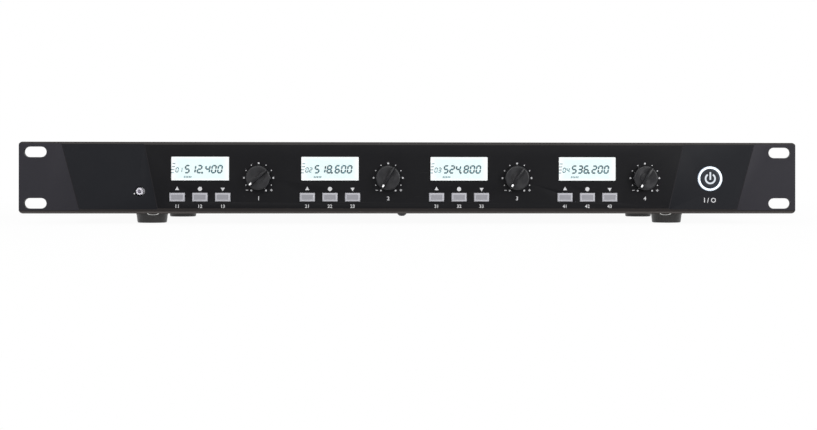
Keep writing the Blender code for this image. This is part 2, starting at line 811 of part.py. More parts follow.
def make_main_board():
    """The board on the chassis floor, with the socket that takes the front board's plug."""
    front = FRONT_BOARD_DEPTH + BOARD + HEADER_LENGTH + GAP
    top = main_board_top()
    shape = bmesh.new()
    add_block(
        shape,
        at(MAIN_BOARD_INSET - CHASSIS_END, front, top - BOARD),
        at(CHASSIS_END - MAIN_BOARD_INSET, CHASSIS_REAR - MAIN_BOARD_REAR_CLEAR, top),
    )
    board = place_object("main_board", mesh_of(shape, "main_board"), parts)
    socket = bmesh.new()
    add_block(
        socket,
        at(-HEADER_WIDTH / 2, front, top - OVERLAP),
        at(HEADER_WIDTH / 2, front + HEADER_SIDE, top + HEADER_SIDE),
    )
    combine(board, helper(socket, "main_board_socket"), "UNION")
    finish(board, paint("main_board", (0.02, 0.16, 0.06), 0.45))


def make_tuners():
    """One shielded receiver module for each channel, on the main board."""
    tin = paint("receiver_module", (0.60, 0.60, 0.58), 0.35, metallic=1.0)
    base = main_board_top() + GAP
    for channel in range(CHANNELS):
        x = TUNER_PITCH * (channel - (CHANNELS - 1) / 2)
        shape = bmesh.new()
        add_block(
            shape,
            at(x - TUNER_WIDTH / 2, TUNER_FRONT, base),
            at(x + TUNER_WIDTH / 2, TUNER_FRONT + TUNER_LENGTH, base + TUNER_RISE),
        )
        lid_edges = [
            edge
            for edge in shape.edges
            if all(corner.co.z > MID_Z + base + TUNER_RISE / 2 for corner in edge.verts)
        ]
        bmesh.ops.bevel(shape, geom=lid_edges, offset=TUNER_EDGE, segments=1, affect="EDGES")
        name = f"receiver_module_{channel + 1}"
        finish(place_object(name, mesh_of(shape, name), parts), tin)


# --- chassis, cover, feet and screw ---------------------------------------------------------
def base_half_width():
    """The tray's outer half width, inside the cover's skirts."""
    return CHASSIS_END - SHEET - GAP


def base_inside():
    """What is hollow in the tray: its inside, the front opening and the screw's hole."""
    half = base_half_width() - SHEET
    floor = CHASSIS_BOTTOM + SHEET
    shape = bmesh.new()
    add_block(
        shape,
        at(-half, PANEL_BACK + GAP + SHEET, floor),
        at(half, CHASSIS_REAR - SHEET, CHASSIS_TOP),
    )
    inside = helper(shape, "chassis_inside")
    opening = bmesh.new()
    add_block(
        opening,
        at(FRONT_FLANGE - half, 0, floor),
        at(half - FRONT_FLANGE, PANEL_BACK + GAP + SHEET + MARGIN, CHASSIS_TOP),
    )
    return inside, helper(opening, "chassis_front_opening")


def chassis_holes():
    """The rear wall's socket holes and the floor's screw hole."""
    shape = bmesh.new()
    front, back = CHASSIS_REAR - SHEET - MARGIN, CHASSIS_REAR + MARGIN
    holes = [(x, BARREL_RADIUS) for x in (*xlr_places(), JACK_X)]
    holes.append((DC_X, DC_NECK_RADIUS))
    holes += [(side * (CHASSIS_END - ANTENNA_INSET), ANTENNA_INNER_RADIUS) for side in (-1, 1)]
    for x, radius in holes:
        start = at(x, front, SOCKET_HEIGHT)
        add_rod(shape, start, at(x, back, SOCKET_HEIGHT), radius + GAP, ROUND)
    start = at(SCREW_X, SCREW_DEPTH, CHASSIS_BOTTOM - MARGIN)
    end = at(SCREW_X, SCREW_DEPTH, CHASSIS_BOTTOM + SHEET + MARGIN)
    add_rod(shape, start, end, SCREW_RADIUS + GAP)
    return helper(shape, "chassis_holes")


def chassis_stands():
    """The pillars on the floor that carry the main board."""
    shape = bmesh.new()
    floor = CHASSIS_BOTTOM + SHEET
    front = FRONT_BOARD_DEPTH + BOARD + HEADER_LENGTH + GAP + STAND_INSET
    back = CHASSIS_REAR - MAIN_BOARD_REAR_CLEAR - STAND_INSET
    half = CHASSIS_END - MAIN_BOARD_INSET - STAND_INSET
    for column in range(STAND_COLUMNS):
        x = -half + 2 * half * column / (STAND_COLUMNS - 1)
        for row in range(STAND_ROWS):
            depth = front + (back - front) * row / (STAND_ROWS - 1)
            start = at(x, depth, floor - OVERLAP)
            add_rod(shape, start, at(x, depth, floor + MAIN_BOARD_STAND), STAND_RADIUS)
    return helper(shape, "chassis_stands")


def make_chassis_base():
    """A folded tray: floor, two sides, rear wall, and two narrow flanges behind the panel."""
    half = base_half_width()
    shape = bmesh.new()
    add_block(
        shape,
        at(-half, PANEL_BACK + GAP, CHASSIS_BOTTOM),
        at(half, CHASSIS_REAR, CHASSIS_TOP - SHEET - GAP),
    )
    tray = place_object("chassis_base", mesh_of(shape, "chassis_base"), parts)
    for hollow in base_inside():
        combine(tray, hollow, "DIFFERENCE")
    combine(tray, chassis_stands(), "UNION")
    combine(tray, chassis_holes(), "DIFFERENCE")
    finish(tray, paint("chassis_base", (0.020, 0.020, 0.021), 0.50))


def make_top_cover():
    """The lid, with a skirt down each side of the tray."""
    half = CHASSIS_END
    skirt_bottom = CHASSIS_TOP - SHEET - COVER_SKIRT
    shape = bmesh.new()
    add_block(
        shape,
        at(-half, PANEL_BACK + GAP, skirt_bottom),
        at(half, CHASSIS_REAR, CHASSIS_TOP),
    )
    folds = [
        edge
        for edge in shape.edges
        if all(corner.co.z > MID_Z + CHASSIS_TOP - SHEET for corner in edge.verts)
        and edge.verts[0].co.x * edge.verts[1].co.x > 0
    ]
    bmesh.ops.bevel(shape, geom=folds, offset=FOLD_RADIUS, segments=3, profile=0.5, affect="EDGES")
    cover = place_object("top_cover", mesh_of(shape, "top_cover"), parts)
    inside = bmesh.new()
    add_block(
        inside,
        at(SHEET - half, 0, skirt_bottom - MARGIN),
        at(half - SHEET, CHASSIS_REAR + MARGIN, CHASSIS_TOP - SHEET),
    )
    combine(cover, helper(inside, "cover_inside"), "DIFFERENCE")
    finish(cover, paint("top_cover", (0.020, 0.020, 0.021), 0.50))


def foot_profile():
    """A round foot: a shoulder under the floor, a slight taper, a soft edge and a dished sole."""
    sole = FOOT_RADIUS - FOOT_TAPER
    return [
        (0.0, FOOT_RISE),
        (FOOT_RADIUS - FOOT_EDGE, FOOT_RISE),
        (FOOT_RADIUS, FOOT_RISE - FOOT_EDGE),
        (sole, FOOT_EDGE),
        (sole - FOOT_EDGE, 0.0),
        (FOOT_DISH_RADIUS, 0.0),
        (FOOT_DISH_RADIUS, FOOT_DISH),
        (0.0, FOOT_DISH),
    ]


def make_feet():
    rubber = paint("foot", (0.012, 0.012, 0.012), 0.60)
    for row, depth in FOOT_DEPTHS.items():
        for side, word in ((-1, "left"), (1, "right")):
            location = at(side * (CHASSIS_END - FOOT_INSET), depth, -MID_Z)
            foot = turned(f"foot_{row}_{word}", foot_profile(), location, UPRIGHT)
            finish(foot, rubber)


def make_bottom_screw():
    """A pan-head screw up through the chassis floor, with a round driver recess."""
    shank_top = CHASSIS_BOTTOM - GAP + SCREW_LENGTH
    profile = [
        (0.0, SCREW_HEAD + SCREW_LENGTH),
        (SCREW_RADIUS, SCREW_HEAD + SCREW_LENGTH),
        (SCREW_RADIUS, SCREW_HEAD),
        (SCREW_HEAD_RADIUS, SCREW_HEAD),
        (SCREW_HEAD_RADIUS, SCREW_HEAD / 2),
        (SCREW_HEAD_RADIUS / 2, 0.0),
        (SCREW_RECESS_RADIUS, 0.0),
        (SCREW_RECESS_RADIUS, SCREW_RECESS),
        (0.0, SCREW_RECESS),
    ]
    location = at(SCREW_X, SCREW_DEPTH, shank_top - SCREW_LENGTH - SCREW_HEAD)
    screw = turned("bottom_screw", profile, location, UPRIGHT, ROUND_SMALL)
    finish(screw, paint("bottom_screw", (0.30, 0.30, 0.31), 0.35, metallic=1.0))


# --- rear sockets ---------------------------------------------------------------------------
def xlr_places():
    return [XLR_FIRST_X + XLR_PITCH * channel for channel in range(CHANNELS)]


def xlr_pins(x):
    shape = bmesh.new()
    floor = CHASSIS_REAR + GAP + FLANGE - XLR_CAVITY
    for degrees in XLR_PIN_ANGLES:
        angle = math.radians(degrees)
        pin_x = x + XLR_PIN_CIRCLE * math.cos(angle)
        height = SOCKET_HEIGHT - XLR_PIN_CIRCLE * math.sin(angle)
        start = at(pin_x, floor - OVERLAP, height)
        add_rod(shape, start, at(pin_x, floor + XLR_PIN, height), XLR_PIN_RADIUS, ROUND_TINY)
    return shape


def flanged_socket(name, x, barrel_length, bore, material, pins=None):
    """A flange outside the rear wall and a barrel inside it; bore is (radius, depth)."""
    face = CHASSIS_REAR + GAP + FLANGE
    shape = bmesh.new()
    add_slot_plate(
        shape,
        FLANGE_WIDTH,
        FLANGE_HEIGHT,
        FLANGE_CORNER,
        CHASSIS_REAR + GAP,
        face,
        (x, SOCKET_HEIGHT),
    )
    socket = place_object(name, mesh_of(shape, name), parts)
    barrel = bmesh.new()
    start = at(x, CHASSIS_REAR - barrel_length, SOCKET_HEIGHT)
    end = at(x, CHASSIS_REAR + GAP + OVERLAP, SOCKET_HEIGHT)
    add_rod(barrel, start, end, BARREL_RADIUS, ROUND)
    combine(socket, helper(barrel, name + "_barrel"), "UNION")
    radius, depth = bore
    cavity = bmesh.new()
    start = at(x, face - depth, SOCKET_HEIGHT)
    add_rod(cavity, start, at(x, face + MARGIN, SOCKET_HEIGHT), radius, ROUND)
    combine(socket, helper(cavity, name + "_cavity"), "DIFFERENCE")
    if pins:
        combine(socket, helper(pins, name + "_pins"), "UNION")
    finish(socket, material)


def make_xlr_outputs():
    """Balanced output sockets with three pins each."""
    black = paint("xlr_output", (0.015, 0.015, 0.016), 0.40)
    for number, x in enumerate(xlr_places(), start=1):
        bore = (XLR_CAVITY_RADIUS, XLR_CAVITY)
        flanged_socket(f"xlr_output_{number}", x, XLR_BARREL, bore, black, xlr_pins(x))


def make_jack_output():
    """The 6.3 mm output, in a socket with the same flange."""
    black = paint("jack_output", (0.02, 0.02, 0.021), 0.45)
    bore = (JACK_BORE_RADIUS, JACK_BORE)
    flanged_socket("jack_output", JACK_X, JACK_BARREL, bore, black)


def make_dc_inlet():
    """A socket with a square body inside the rear wall, a round rim outside it and a pin."""
    inner = CHASSIS_REAR - SHEET - GAP
    face = CHASSIS_REAR + GAP + DC_RIM
    shape = bmesh.new()
    add_panel_block(
        shape, (DC_BODY, DC_BODY), inner - DC_BODY_LENGTH, inner, (DC_X, SOCKET_HEIGHT)
    )
    inlet = place_object("dc_inlet", mesh_of(shape, "dc_inlet"), parts)
    for name, start, end, radius, sides, operation in (
        ("neck", inner - OVERLAP, face - OVERLAP, DC_NECK_RADIUS, ROUND, "UNION"),
        ("rim", CHASSIS_REAR + GAP, face, DC_RIM_RADIUS, ROUND, "UNION"),
        ("bore", face - DC_BORE, face + MARGIN, DC_BORE_RADIUS, ROUND_SMALL, "DIFFERENCE"),
        ("pin", face - DC_BORE - OVERLAP, face - DC_RIM, DC_PIN_RADIUS, ROUND_TINY, "UNION"),
    ):
        shape = bmesh.new()
        ends = (at(DC_X, start, SOCKET_HEIGHT), at(DC_X, end, SOCKET_HEIGHT))
        add_rod(shape, *ends, radius, sides)
        combine(inlet, helper(shape, "dc_" + name), operation)
    finish(inlet, paint("dc_inlet", (0.02, 0.02, 0.02), 0.45))


def antenna_profile():
    """An aerial socket from its mouth down: barrel, nut, then the body inside the rear wall."""
    nut = ANTENNA_NUT_RADIUS
    return [
        (0.0, ANTENNA_REACH - ANTENNA_BORE + ANTENNA_CORE),
        (ANTENNA_CORE_RADIUS, ANTENNA_REACH - ANTENNA_BORE + ANTENNA_CORE),
        (ANTENNA_CORE_RADIUS, ANTENNA_REACH - ANTENNA_BORE),
        (ANTENNA_BORE_RADIUS, ANTENNA_REACH - ANTENNA_BORE),
        (ANTENNA_BORE_RADIUS, ANTENNA_REACH),
        (ANTENNA_BARREL_RADIUS, ANTENNA_REACH),
        (ANTENNA_BARREL_RADIUS, GAP + ANTENNA_NUT),
        (nut, GAP + ANTENNA_NUT),
        (nut, GAP),
        (ANTENNA_INNER_RADIUS, GAP),
        (ANTENNA_INNER_RADIUS, -ANTENNA_INNER),
        (0.0, -ANTENNA_INNER),
    ]


def make_antenna_sockets():
    """Two bayonet sockets for aerials, with the two lugs that lock a plug."""
    nickel = paint("antenna_socket", (0.62, 0.60, 0.56), 0.25, metallic=1.0)
    for number, side in enumerate((-1, 1), start=1):
        name = f"antenna_socket_{number}"
        location = at(side * (CHASSIS_END - ANTENNA_INSET), CHASSIS_REAR, SOCKET_HEIGHT)
        socket = turned(name, antenna_profile(), location, FACING_REAR, ROUND)
        for lug_side in (-1, 1):
            lug = bmesh.new()
            z = ANTENNA_REACH - LUG_INSET
            wall = (ANTENNA_BORE_RADIUS + ANTENNA_BARREL_RADIUS) / 2
            start = (lug_side * wall, 0, z)
            end = (lug_side * (ANTENNA_BARREL_RADIUS + LUG_RISE), 0, z)
            add_rod(lug, start, end, LUG_RADIUS, 12)
            made = helper(lug, f"{name}_lug_{lug_side}", FACING_REAR, location)
            combine(socket, made, "UNION")
        finish(socket, nickel)


def main():
    clear_scene()
    make_front_panel()
    make_windows()
    make_display_modules()
    make_keys()
    make_knobs()
    make_shafts()
    make_pots()
    make_power_ring()
    make_power_button()
    make_power_switch()
    make_sync_led()
    make_front_board()
    make_main_board()
    make_tuners()
    make_chassis_base()
    make_top_cover()
    make_feet()
    make_bottom_screw()
    make_xlr_outputs()
    make_jack_output()
    make_dc_inlet()
    make_antenna_sockets()


main()
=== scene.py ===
"""Looks of a four-channel rack wireless receiver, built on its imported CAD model.

The file is laid out as an add-on and run as a script. Each operator dresses one group of pieces:
it makes new, finer meshes in place of plain solids, or gives a solid its finish. Metres, +Z up,
the front faces -Y.
"""

import math

import bmesh
import bpy
from bpy.props import FloatProperty, FloatVectorProperty, IntProperty, StringProperty
from mathutils import Matrix, Vector


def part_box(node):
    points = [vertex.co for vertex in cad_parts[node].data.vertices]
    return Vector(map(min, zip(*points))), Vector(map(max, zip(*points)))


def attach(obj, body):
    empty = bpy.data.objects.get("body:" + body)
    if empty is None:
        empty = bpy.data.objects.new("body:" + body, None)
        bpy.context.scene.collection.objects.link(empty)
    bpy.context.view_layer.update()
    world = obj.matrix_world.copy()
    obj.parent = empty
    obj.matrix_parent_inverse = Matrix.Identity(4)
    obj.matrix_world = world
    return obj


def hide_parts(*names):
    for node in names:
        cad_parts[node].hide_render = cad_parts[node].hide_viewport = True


bl_info = {
    "name": "Rack receiver looks",
    "version": (1, 0, 0),
    "blender": (4, 5, 0),
    "location": "View3D > Sidebar > Receiver",
    "description": "Finishes for a four-channel rack wireless receiver",
    "category": "Object",
}

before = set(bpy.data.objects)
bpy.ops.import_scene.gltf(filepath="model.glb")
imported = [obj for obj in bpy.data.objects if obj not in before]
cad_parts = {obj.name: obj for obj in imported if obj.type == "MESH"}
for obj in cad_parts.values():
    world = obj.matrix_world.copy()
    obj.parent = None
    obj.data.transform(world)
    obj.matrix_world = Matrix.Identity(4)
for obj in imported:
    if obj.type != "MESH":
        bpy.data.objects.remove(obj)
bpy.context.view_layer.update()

# --- places read from the frame -------------------------------------------------------------
PANEL_LOW, PANEL_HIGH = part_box("front_panel")
FACE_Y = PANEL_LOW.y
MID_Z = (PANEL_LOW.z + PANEL_HIGH.z) / 2
TRAY_LOW, TRAY_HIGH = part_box("chassis_base")
COVER_LOW, COVER_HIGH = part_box("top_cover")
REAR_Y = TRAY_HIGH.y
CHANNELS = range(1, 5)
KEY_NAMES = ("up", "set", "down")  # from left to right
SEAM = 0.0003  # between pieces that touch
PRINT = 0.00004  # thickness of printed ink
FACING_FRONT = Matrix.Rotation(math.radians(90), 4, "X")  # own +Z turned to -Y, own +Y to +Z
FACING_REAR = Matrix.Rotation(math.radians(-90), 4, "X")
POINTER_ANGLES = (228.9, 210.3, 215.1, 212.1)  # clockwise from straight up
FULL_TURN = math.tau
MERGE = 0.000002  # corners closer than this are one
SMOOTH_ANGLE = math.radians(32)
FLAT_ANGLE = math.radians(1)


def srgb(red, green, blue):
    """A screen colour, 0 to 255, as scene-linear values."""
    shares = (value / 255 for value in (red, green, blue))
    return tuple(v / 12.92 if v <= 0.04045 else ((v + 0.055) / 1.055) ** 2.4 for v in shares)


def centre_of(node):
    low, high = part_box(node)
    return (low + high) / 2


def front_of(node):
    """The middle of a node's front face."""
    low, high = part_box(node)
    return Vector(((low.x + high.x) / 2, low.y, (low.z + high.z) / 2))


# --- what a user would change ---------------------------------------------------------------
def colour_setting(name, red, green, blue):
    """A paint setting, given as a screen colour."""
    return FloatVectorProperty(
        name=name, description="Paint: " + name.lower(), subtype="COLOR", min=0, max=1,
        default=srgb(red, green, blue),
    )


def length_setting(name, metres):
    """A length setting, in metres."""
    return FloatProperty(
        name=name, description="Size: " + name.lower(), unit="LENGTH", precision=5, default=metres
    )


def place_setting(name, place):
    """A point setting, in metres."""
    return FloatVectorProperty(
        name=name, description="Place: " + name.lower(), subtype="TRANSLATION", unit="LENGTH",
        precision=4, default=place,
    )


def amount_setting(name, amount):
    """A plain number from 0 up."""
    return FloatProperty(name=name, description="Amount: " + name.lower(), min=0, default=amount)


def angle_setting(name, degrees):
    """An angle setting, given in degrees."""
    return FloatProperty(
        name=name, description="Angle: " + name.lower(), subtype="ANGLE",
        default=math.radians(degrees),
    )


def count_setting(name, count, low=1, high=256):
    """A whole number between two limits."""
    return IntProperty(
        name=name, description="Count: " + name.lower(), default=count, min=low, max=high
    )


def row_setting(name, words, values, unit="LENGTH"):
    """Two or three numbers, lengths unless said otherwise, that the words explain."""
    return FloatVectorProperty(
        name=name, description=words, size=len(values), unit=unit, precision=4, default=values
    )


class PanelLook(bpy.types.PropertyGroup):
    """Paint of the front panel, with a painted reflection on the top chamfer and painted light from
    the floor on the bottom one.
    """

    ear_colour: colour_setting("Rack ears", 42, 41, 46)
    middle_colour: colour_setting("Side fields", 23, 24, 28)
    centre_colour: colour_setting("Centre field", 12, 12, 15)
    step_colour: colour_setting("Sloping steps", 34, 33, 36)
    # Warm brownish top chamfer: a painted reflection of the surroundings over the black paint.
    top_edge_colour: colour_setting("Top chamfer", 28, 24, 22)
    # The bottom chamfer is painted lighter as light from the floor, and its lower half lighter
    # still as a painted highlight.
    bottom_edge_colour: colour_setting("Bottom chamfer", 43, 39, 38)
    lip_colour: colour_setting("Lower half of the bottom chamfer", 84, 80, 78)
    lip_height: length_setting("Height of that half", 0.0012)
    behind_colour: colour_setting("Sides and back", 30, 30, 31)
    roughness: amount_setting("Roughness", 0.45)
    shine: amount_setting("Shine", 0.11)
    edge_radius: length_setting("Softened edge", 0.00015)


class DisplayLook(bpy.types.PropertyGroup):
    """The lit displays."""

    glow_colour: colour_setting("Light", 233, 250, 250)
    edge_glow_colour: colour_setting("Light near the edge", 252, 255, 255)
    glow: amount_setting("Strength", 1.0)
    segment_colour: colour_setting("Dark segments", 12, 84, 98)
    pale_segment_colour: colour_setting("Pale segments", 84, 134, 146)
    slant: amount_setting("Lean of the digits", 0.15)
    large_digit: length_setting("Large digit", 0.0044)
    reading_drop: length_setting("Large digits below the middle", 0.0004)
    small_digit: length_setting("Small digit", 0.0027)
    reading_start: length_setting("First large digit", -0.0080)
    number_start: length_setting("First small digit", -0.0142)
    column_x: length_setting("Left column", -0.0167)
    column_low: length_setting("Lowest mark of the column", -0.0026)
    column_pitch: length_setting("Pitch of the column", 0.0019)
    column_count: count_setting("Marks in the column", 4)
    column_bar: row_setting("Mark", "Width and height", (0.0017, 0.0005))
    level_x: length_setting("First level bar", -0.0090)
    level_height: length_setting("Level bars from the middle", -0.0052)
    level_pitch: length_setting("Pitch of the level bars", 0.0010)
    level_count: count_setting("Level bars", 5)
    level_bar: row_setting("Level bar", "Width and height", (0.0006, 0.0011))
    readings: StringProperty(
        name="Readings", description="Figures of the displays, with commas between",
        default="512400,518600,524800,536200",
    )


class ControlLook(bpy.types.PropertyGroup):
    """Keys, knobs, the power button and the emitter."""

    key_colour: colour_setting("Key", 137, 137, 143)
    # Lighter than the key: a painted highlight on the bevelled rim.
    key_rim_colour: colour_setting("Key rim", 171, 171, 177)
    key_rim: length_setting("Width of a key's rim", 0.0006)
    key_softness: length_setting("Rounding of a key's edges", 0.00012)
    knob_colour: colour_setting("Knob", 19, 19, 23)
    knob_spin: amount_setting("Strength of a knob's turning marks", 0.8)
    ring_colour: colour_setting("Light ring", 240, 250, 255)
    ring_edge_colour: colour_setting("Light ring's edge", 20, 40, 64)
    ring_glow: amount_setting("Ring strength", 1.1)
    ring_inner: length_setting("Ring's inner radius", 0.00615)
    ring_middle: length_setting("Middle of the ring's glow", 0.00680)
    ring_full: length_setting("Full glow, each way", 0.00014)
    ring_faded: length_setting("End of the glow, each way", 0.00060)
    cap_disc: length_setting("Cap's thickness", 0.0042)
    shaft_radius: length_setting("Shaft's radius", 0.0030)
    sign_size: length_setting("Power sign", 0.00695)
    sign_stroke: length_setting("Power sign's stroke", 0.00102)
    sign_gap: amount_setting("Power sign's gap in degrees", 66)
    grip_rise: length_setting("Grip's rise", 0.0045)
    grip_width: length_setting("Grip's width", 0.0033)
    grip_inset: length_setting("Grip's inset", 0.0006)
    mark_radius: length_setting("Pointer from the axis", 0.0057)
    mark_width: length_setting("Pointer's width", 0.0011)
    mark_length: length_setting("Pointer's straight length", 0.0007)
    emitter_radius: length_setting("Emitter's radius", 0.0024)
    cup_rim: length_setting("Emitter cup's outer radius", 0.0018)
    cup_mouth: length_setting("Emitter cup's mouth radius", 0.0012)
    cup_floor: length_setting("Emitter cup's floor radius", 0.0010)
    cup_depth: length_setting("Emitter cup's depth", 0.0006)
    round_steps: count_setting("Sides of a turned piece", 96, low=12)


class PrintLook(bpy.types.PropertyGroup):
    """Screen-printed marks, and a pale dot by the emitter; heights are from the panel's mid-line.
    """

    colour: colour_setting("Ink", 196, 196, 198)
    sign_height: length_setting("Signs over the keys", -0.0069)
    sign_size: length_setting("Sign", 0.0026)
    key_number_height: length_setting("Numbers under the keys", -0.0176)
    key_number_size: length_setting("Number under a key", 0.0021)
    scale_radius: length_setting("Scale round a knob", 0.00905)
    dot_size: length_setting("Large dot", 0.00115)
    minus_reach: length_setting("Minus from the axis", 0.00715)
    plus_reach: length_setting("Plus from the axis", 0.0078)
    plus_size: length_setting("Plus", 0.0015)
    plus_height: length_setting("Height of the minus and the plus", -0.00765)
    channel_number_height: length_setting("Channel number", -0.0127)
    channel_number_size: length_setting("Channel number's size", 0.0024)
    number_height: length_setting("Sign under the power button", -0.0138)
    number_size: length_setting("Size of that sign", 0.0030)
    side_field_depth: length_setting("Side field's depth", 0.0006)
    emitter_dot: row_setting(
        "Dot by the emitter", "From the emitter's middle, across and up", (-0.0033, -0.0014)
    )
    emitter_dot_size: length_setting("Size of that dot", 0.0009)
    rear_number_size: length_setting("Number at the rear", 0.0038)
    rear_number_gap: length_setting("Rear number from its socket", 0.0045)


class CaseLook(bpy.types.PropertyGroup):
    """The steel case, its feet and the rear sockets."""

    case_colour: colour_setting("Case", 30, 30, 31)
    fold_radius: length_setting("Softened fold", 0.0002)
    socket_edge: length_setting("Softened socket edge", 0.00015)
    pin_circle: length_setting("Outputs' pin circle", 0.0064)
    bush_bore: length_setting("Jack bush's bore radius", 0.0034)
    bush_radius: length_setting("Jack bush's radius", 0.0048)
    bush_rise: length_setting("Jack bush's rise", 0.0022)
    nut_radius: length_setting("Jack nut's radius", 0.0076)
    nut_rise: length_setting("Jack nut's rise", 0.0015)
    core_radius: length_setting("Aerial core's radius", 0.0024)
    screw_radius: length_setting("Lid screw's radius", 0.0030)
    screw_rise: length_setting("Lid screw's rise", 0.0016)
    lid_screw_height: length_setting("Lid screw above the skirt's edge", 0.0060)
    lid_screws: row_setting("Lid screws", "Shares of the lid's depth", (0.1, 0.5, 0.9), "NONE")
    flange_screw: row_setting(
        "Flange screw", "From a socket's middle, across and up", (0.0095, 0.0120)
    )
    flange_screw_size: row_setting("Flange screw's size", "Radius and height", (0.0021, 0.0011))
    # A bright metal arc let into each front foot, which paints the glint at its top.
    foot_tab: row_setting(
        "Bright arc on a front foot", "Outer radius, inner radius, thickness",
        (0.0036, 0.0030, 0.0012),
    )
    foot_tab_flatness: amount_setting("Flatness of that arc", 0.27)
    foot_tab_turn: amount_setting("Turn of that arc towards the middle, in degrees", 11)
    foot_taper: length_setting("Foot's taper", 0.0008)
    foot_shoulder: length_setting("Foot's shoulder", 0.0016)
    foot_edge: length_setting("Foot's rounded edge", 0.0008)
    round_steps: count_setting("Sides of a foot", 96, low=12)
    screw_steps: count_setting("Sides of a screw head", 24, low=8, high=64)


class StageLook(bpy.types.PropertyGroup):
    """Camera, floor and lamps."""

    camera_place: place_setting("Camera", (0.0047, -1.2314, 0.0339))
    camera_turn: angle_setting("Camera's turn about the vertical", -2.643)
    camera_roll: angle_setting("Camera's turn about its view", 0.062)
    lens: amount_setting("Lens in millimetres", 79.84)
    shift: row_setting("Shift", "Of the picture, across and up", (-0.1145, -0.0559), "NONE")
    surround: amount_setting("Light of the surround", 0.5)
    floor_colour: FloatVectorProperty(
        name="Floor", description="Colour of the floor", subtype="COLOR", min=0, max=1,
        default=(0.92, 0.92, 0.92),
    )
    floor_size: length_setting("Floor's side", 60.0)
    floor_white: amount_setting("Share of plain white that the camera sees", 0.95)
    shadow_near: length_setting("Start of the whiter floor", 0.30)
    shadow_far: length_setting("End of the whiter floor", 0.90)
    key_place: place_setting("Key lamp", (-0.5, -1.9, 1.0))
    key_aim: place_setting("Key lamp's aim", (0.0, -0.1, 0.0))
    key_size: row_setting("Key lamp's size", "Across and up", (1.3, 0.8))
    key_power: amount_setting("Key lamp's power", 13)
    fill_place: place_setting("Fill lamp", (1.15, -1.5, 0.5))
    fill_aim: place_setting("Fill lamp's aim", (0.0, -0.1, 0.0))
    fill_size: row_setting("Fill lamp's size", "Across and up", (0.8, 0.8))
    fill_power: amount_setting("Fill lamp's power", 17)
    top_place: place_setting("Top lamp", (0.0, 0.3, 1.4))
    top_aim: place_setting("Top lamp's aim", (0.0, 0.0, 0.0))
    top_size: row_setting("Top lamp's size", "Across and up", (1.6, 1.2))
    top_power: amount_setting("Top lamp's power", 5)


# --- shader parts ---------------------------------------------------------------------------
def feed(tree, node, feeds):
    """Gives a node's inputs, by name or place, a value or the output of another node."""
    pairs = feeds.items() if isinstance(feeds, dict) else enumerate(feeds)
    for key, value in pairs:
        if isinstance(value, bpy.types.NodeSocket):
            tree.links.new(value, node.inputs[key])
        else:
            node.inputs[key].default_value = value
    return node


def add_node(tree, kind, feeds=(), **settings):
    """A shader node with its settings and feeds."""
    node = tree.nodes.new("ShaderNode" + kind)
    for key, value in settings.items():
        setattr(node, key, value)
    return feed(tree, node, feeds)


def maths(tree, operation, *feeds, clamp=False):
    """The result of one step of arithmetic."""
    return add_node(tree, "Math", feeds, operation=operation, use_clamp=clamp).outputs[0]


def own_place(tree):
    """The place of a shaded point in Object coordinates."""
    return add_node(tree, "TexCoord").outputs["Object"]


def noise(tree, place, scale, detail, roughness=0.5):
    """A cloudy value from 0 to 1."""
    feeds = {"Vector": place, "Scale": scale, "Detail": detail, "Roughness": roughness}
    return add_node(tree, "TexNoise", feeds).outputs["Fac"]


def spread(tree, value, low, high, to_low=0.0, to_high=1.0):
    """A value stretched from one range to another and held there."""
    feeds = {
        "Value": value, "From Min": low, "From Max": high, "To Min": to_low, "To Max": to_high,
    }
    return add_node(tree, "MapRange", feeds).outputs[0]


def scaled(tree, vector, share):
    """A vector or colour times a value."""
    return add_node(tree, "VectorMath", {0: vector, "Scale": share}, operation="SCALE").outputs[0]


def soft_ramp(tree, value, start, colour, end_colour):
    """One colour up to a value, then a soft change to another one at 1."""
    node = add_node(tree, "ValToRGB", [value])
    ramp = node.color_ramp
    ramp.interpolation = "EASE"
    ramp.elements[0].position = start
    ramp.elements[0].color = (*colour, 1.0)
    ramp.elements[1].position = 1.0
    ramp.elements[1].color = (*end_colour, 1.0)
    return node.outputs["Color"]


def new_group(name, inputs, outputs):
    """An empty shader node group. inputs are (name, default), outputs are (name, socket type)."""
    group = bpy.data.node_groups.new(name, "ShaderNodeTree")
    for word, default in inputs:
        kind = "NodeSocketColor" if isinstance(default, tuple) else "NodeSocketFloat"
        socket = group.interface.new_socket(name=word, in_out="INPUT", socket_type=kind)
        socket.default_value = (*default, 1.0) if isinstance(default, tuple) else default
    for word, kind in outputs:
        group.interface.new_socket(name=word, in_out="OUTPUT", socket_type=kind)
    return group, group.nodes.new("NodeGroupInput").outputs, group.nodes.new("NodeGroupOutput")


def grain_group():
    """Fine texture of paint or moulded plastic: a tone, a roughness and a height."""
    group, given, out = new_group(
        "surface_grain",
        [("Colour", (0.5, 0.5, 0.5)), ("Roughness", 0.5), ("Grain Size", 0.0005),
         ("Tone Change", 0.1), ("Roughness Change", 0.1)],
        [("Colour", "NodeSocketColor"), ("Roughness", "NodeSocketFloat"),
         ("Height", "NodeSocketFloat")],
    )
    place = own_place(group)
    fine_scale = maths(group, "DIVIDE", 1.0, given["Grain Size"])
    fine = noise(group, place, fine_scale, detail=3.0, roughness=0.6)
    broad = noise(group, place, scale=28.0, detail=4.0, roughness=0.55)
    both = maths(group, "MULTIPLY_ADD", broad, 0.5, maths(group, "MULTIPLY", fine, 0.5))
    centred = maths(group, "SUBTRACT", both, 0.5)
    tone = maths(group, "MULTIPLY_ADD", centred, given["Tone Change"], 1.0)
    rough = maths(
        group, "MULTIPLY_ADD", centred, given["Roughness Change"], given["Roughness"], clamp=True
    )
    shade = scaled(group, given["Colour"], tone)
    feed(group, out, {"Colour": shade, "Roughness": rough, "Height": fine})
    return group


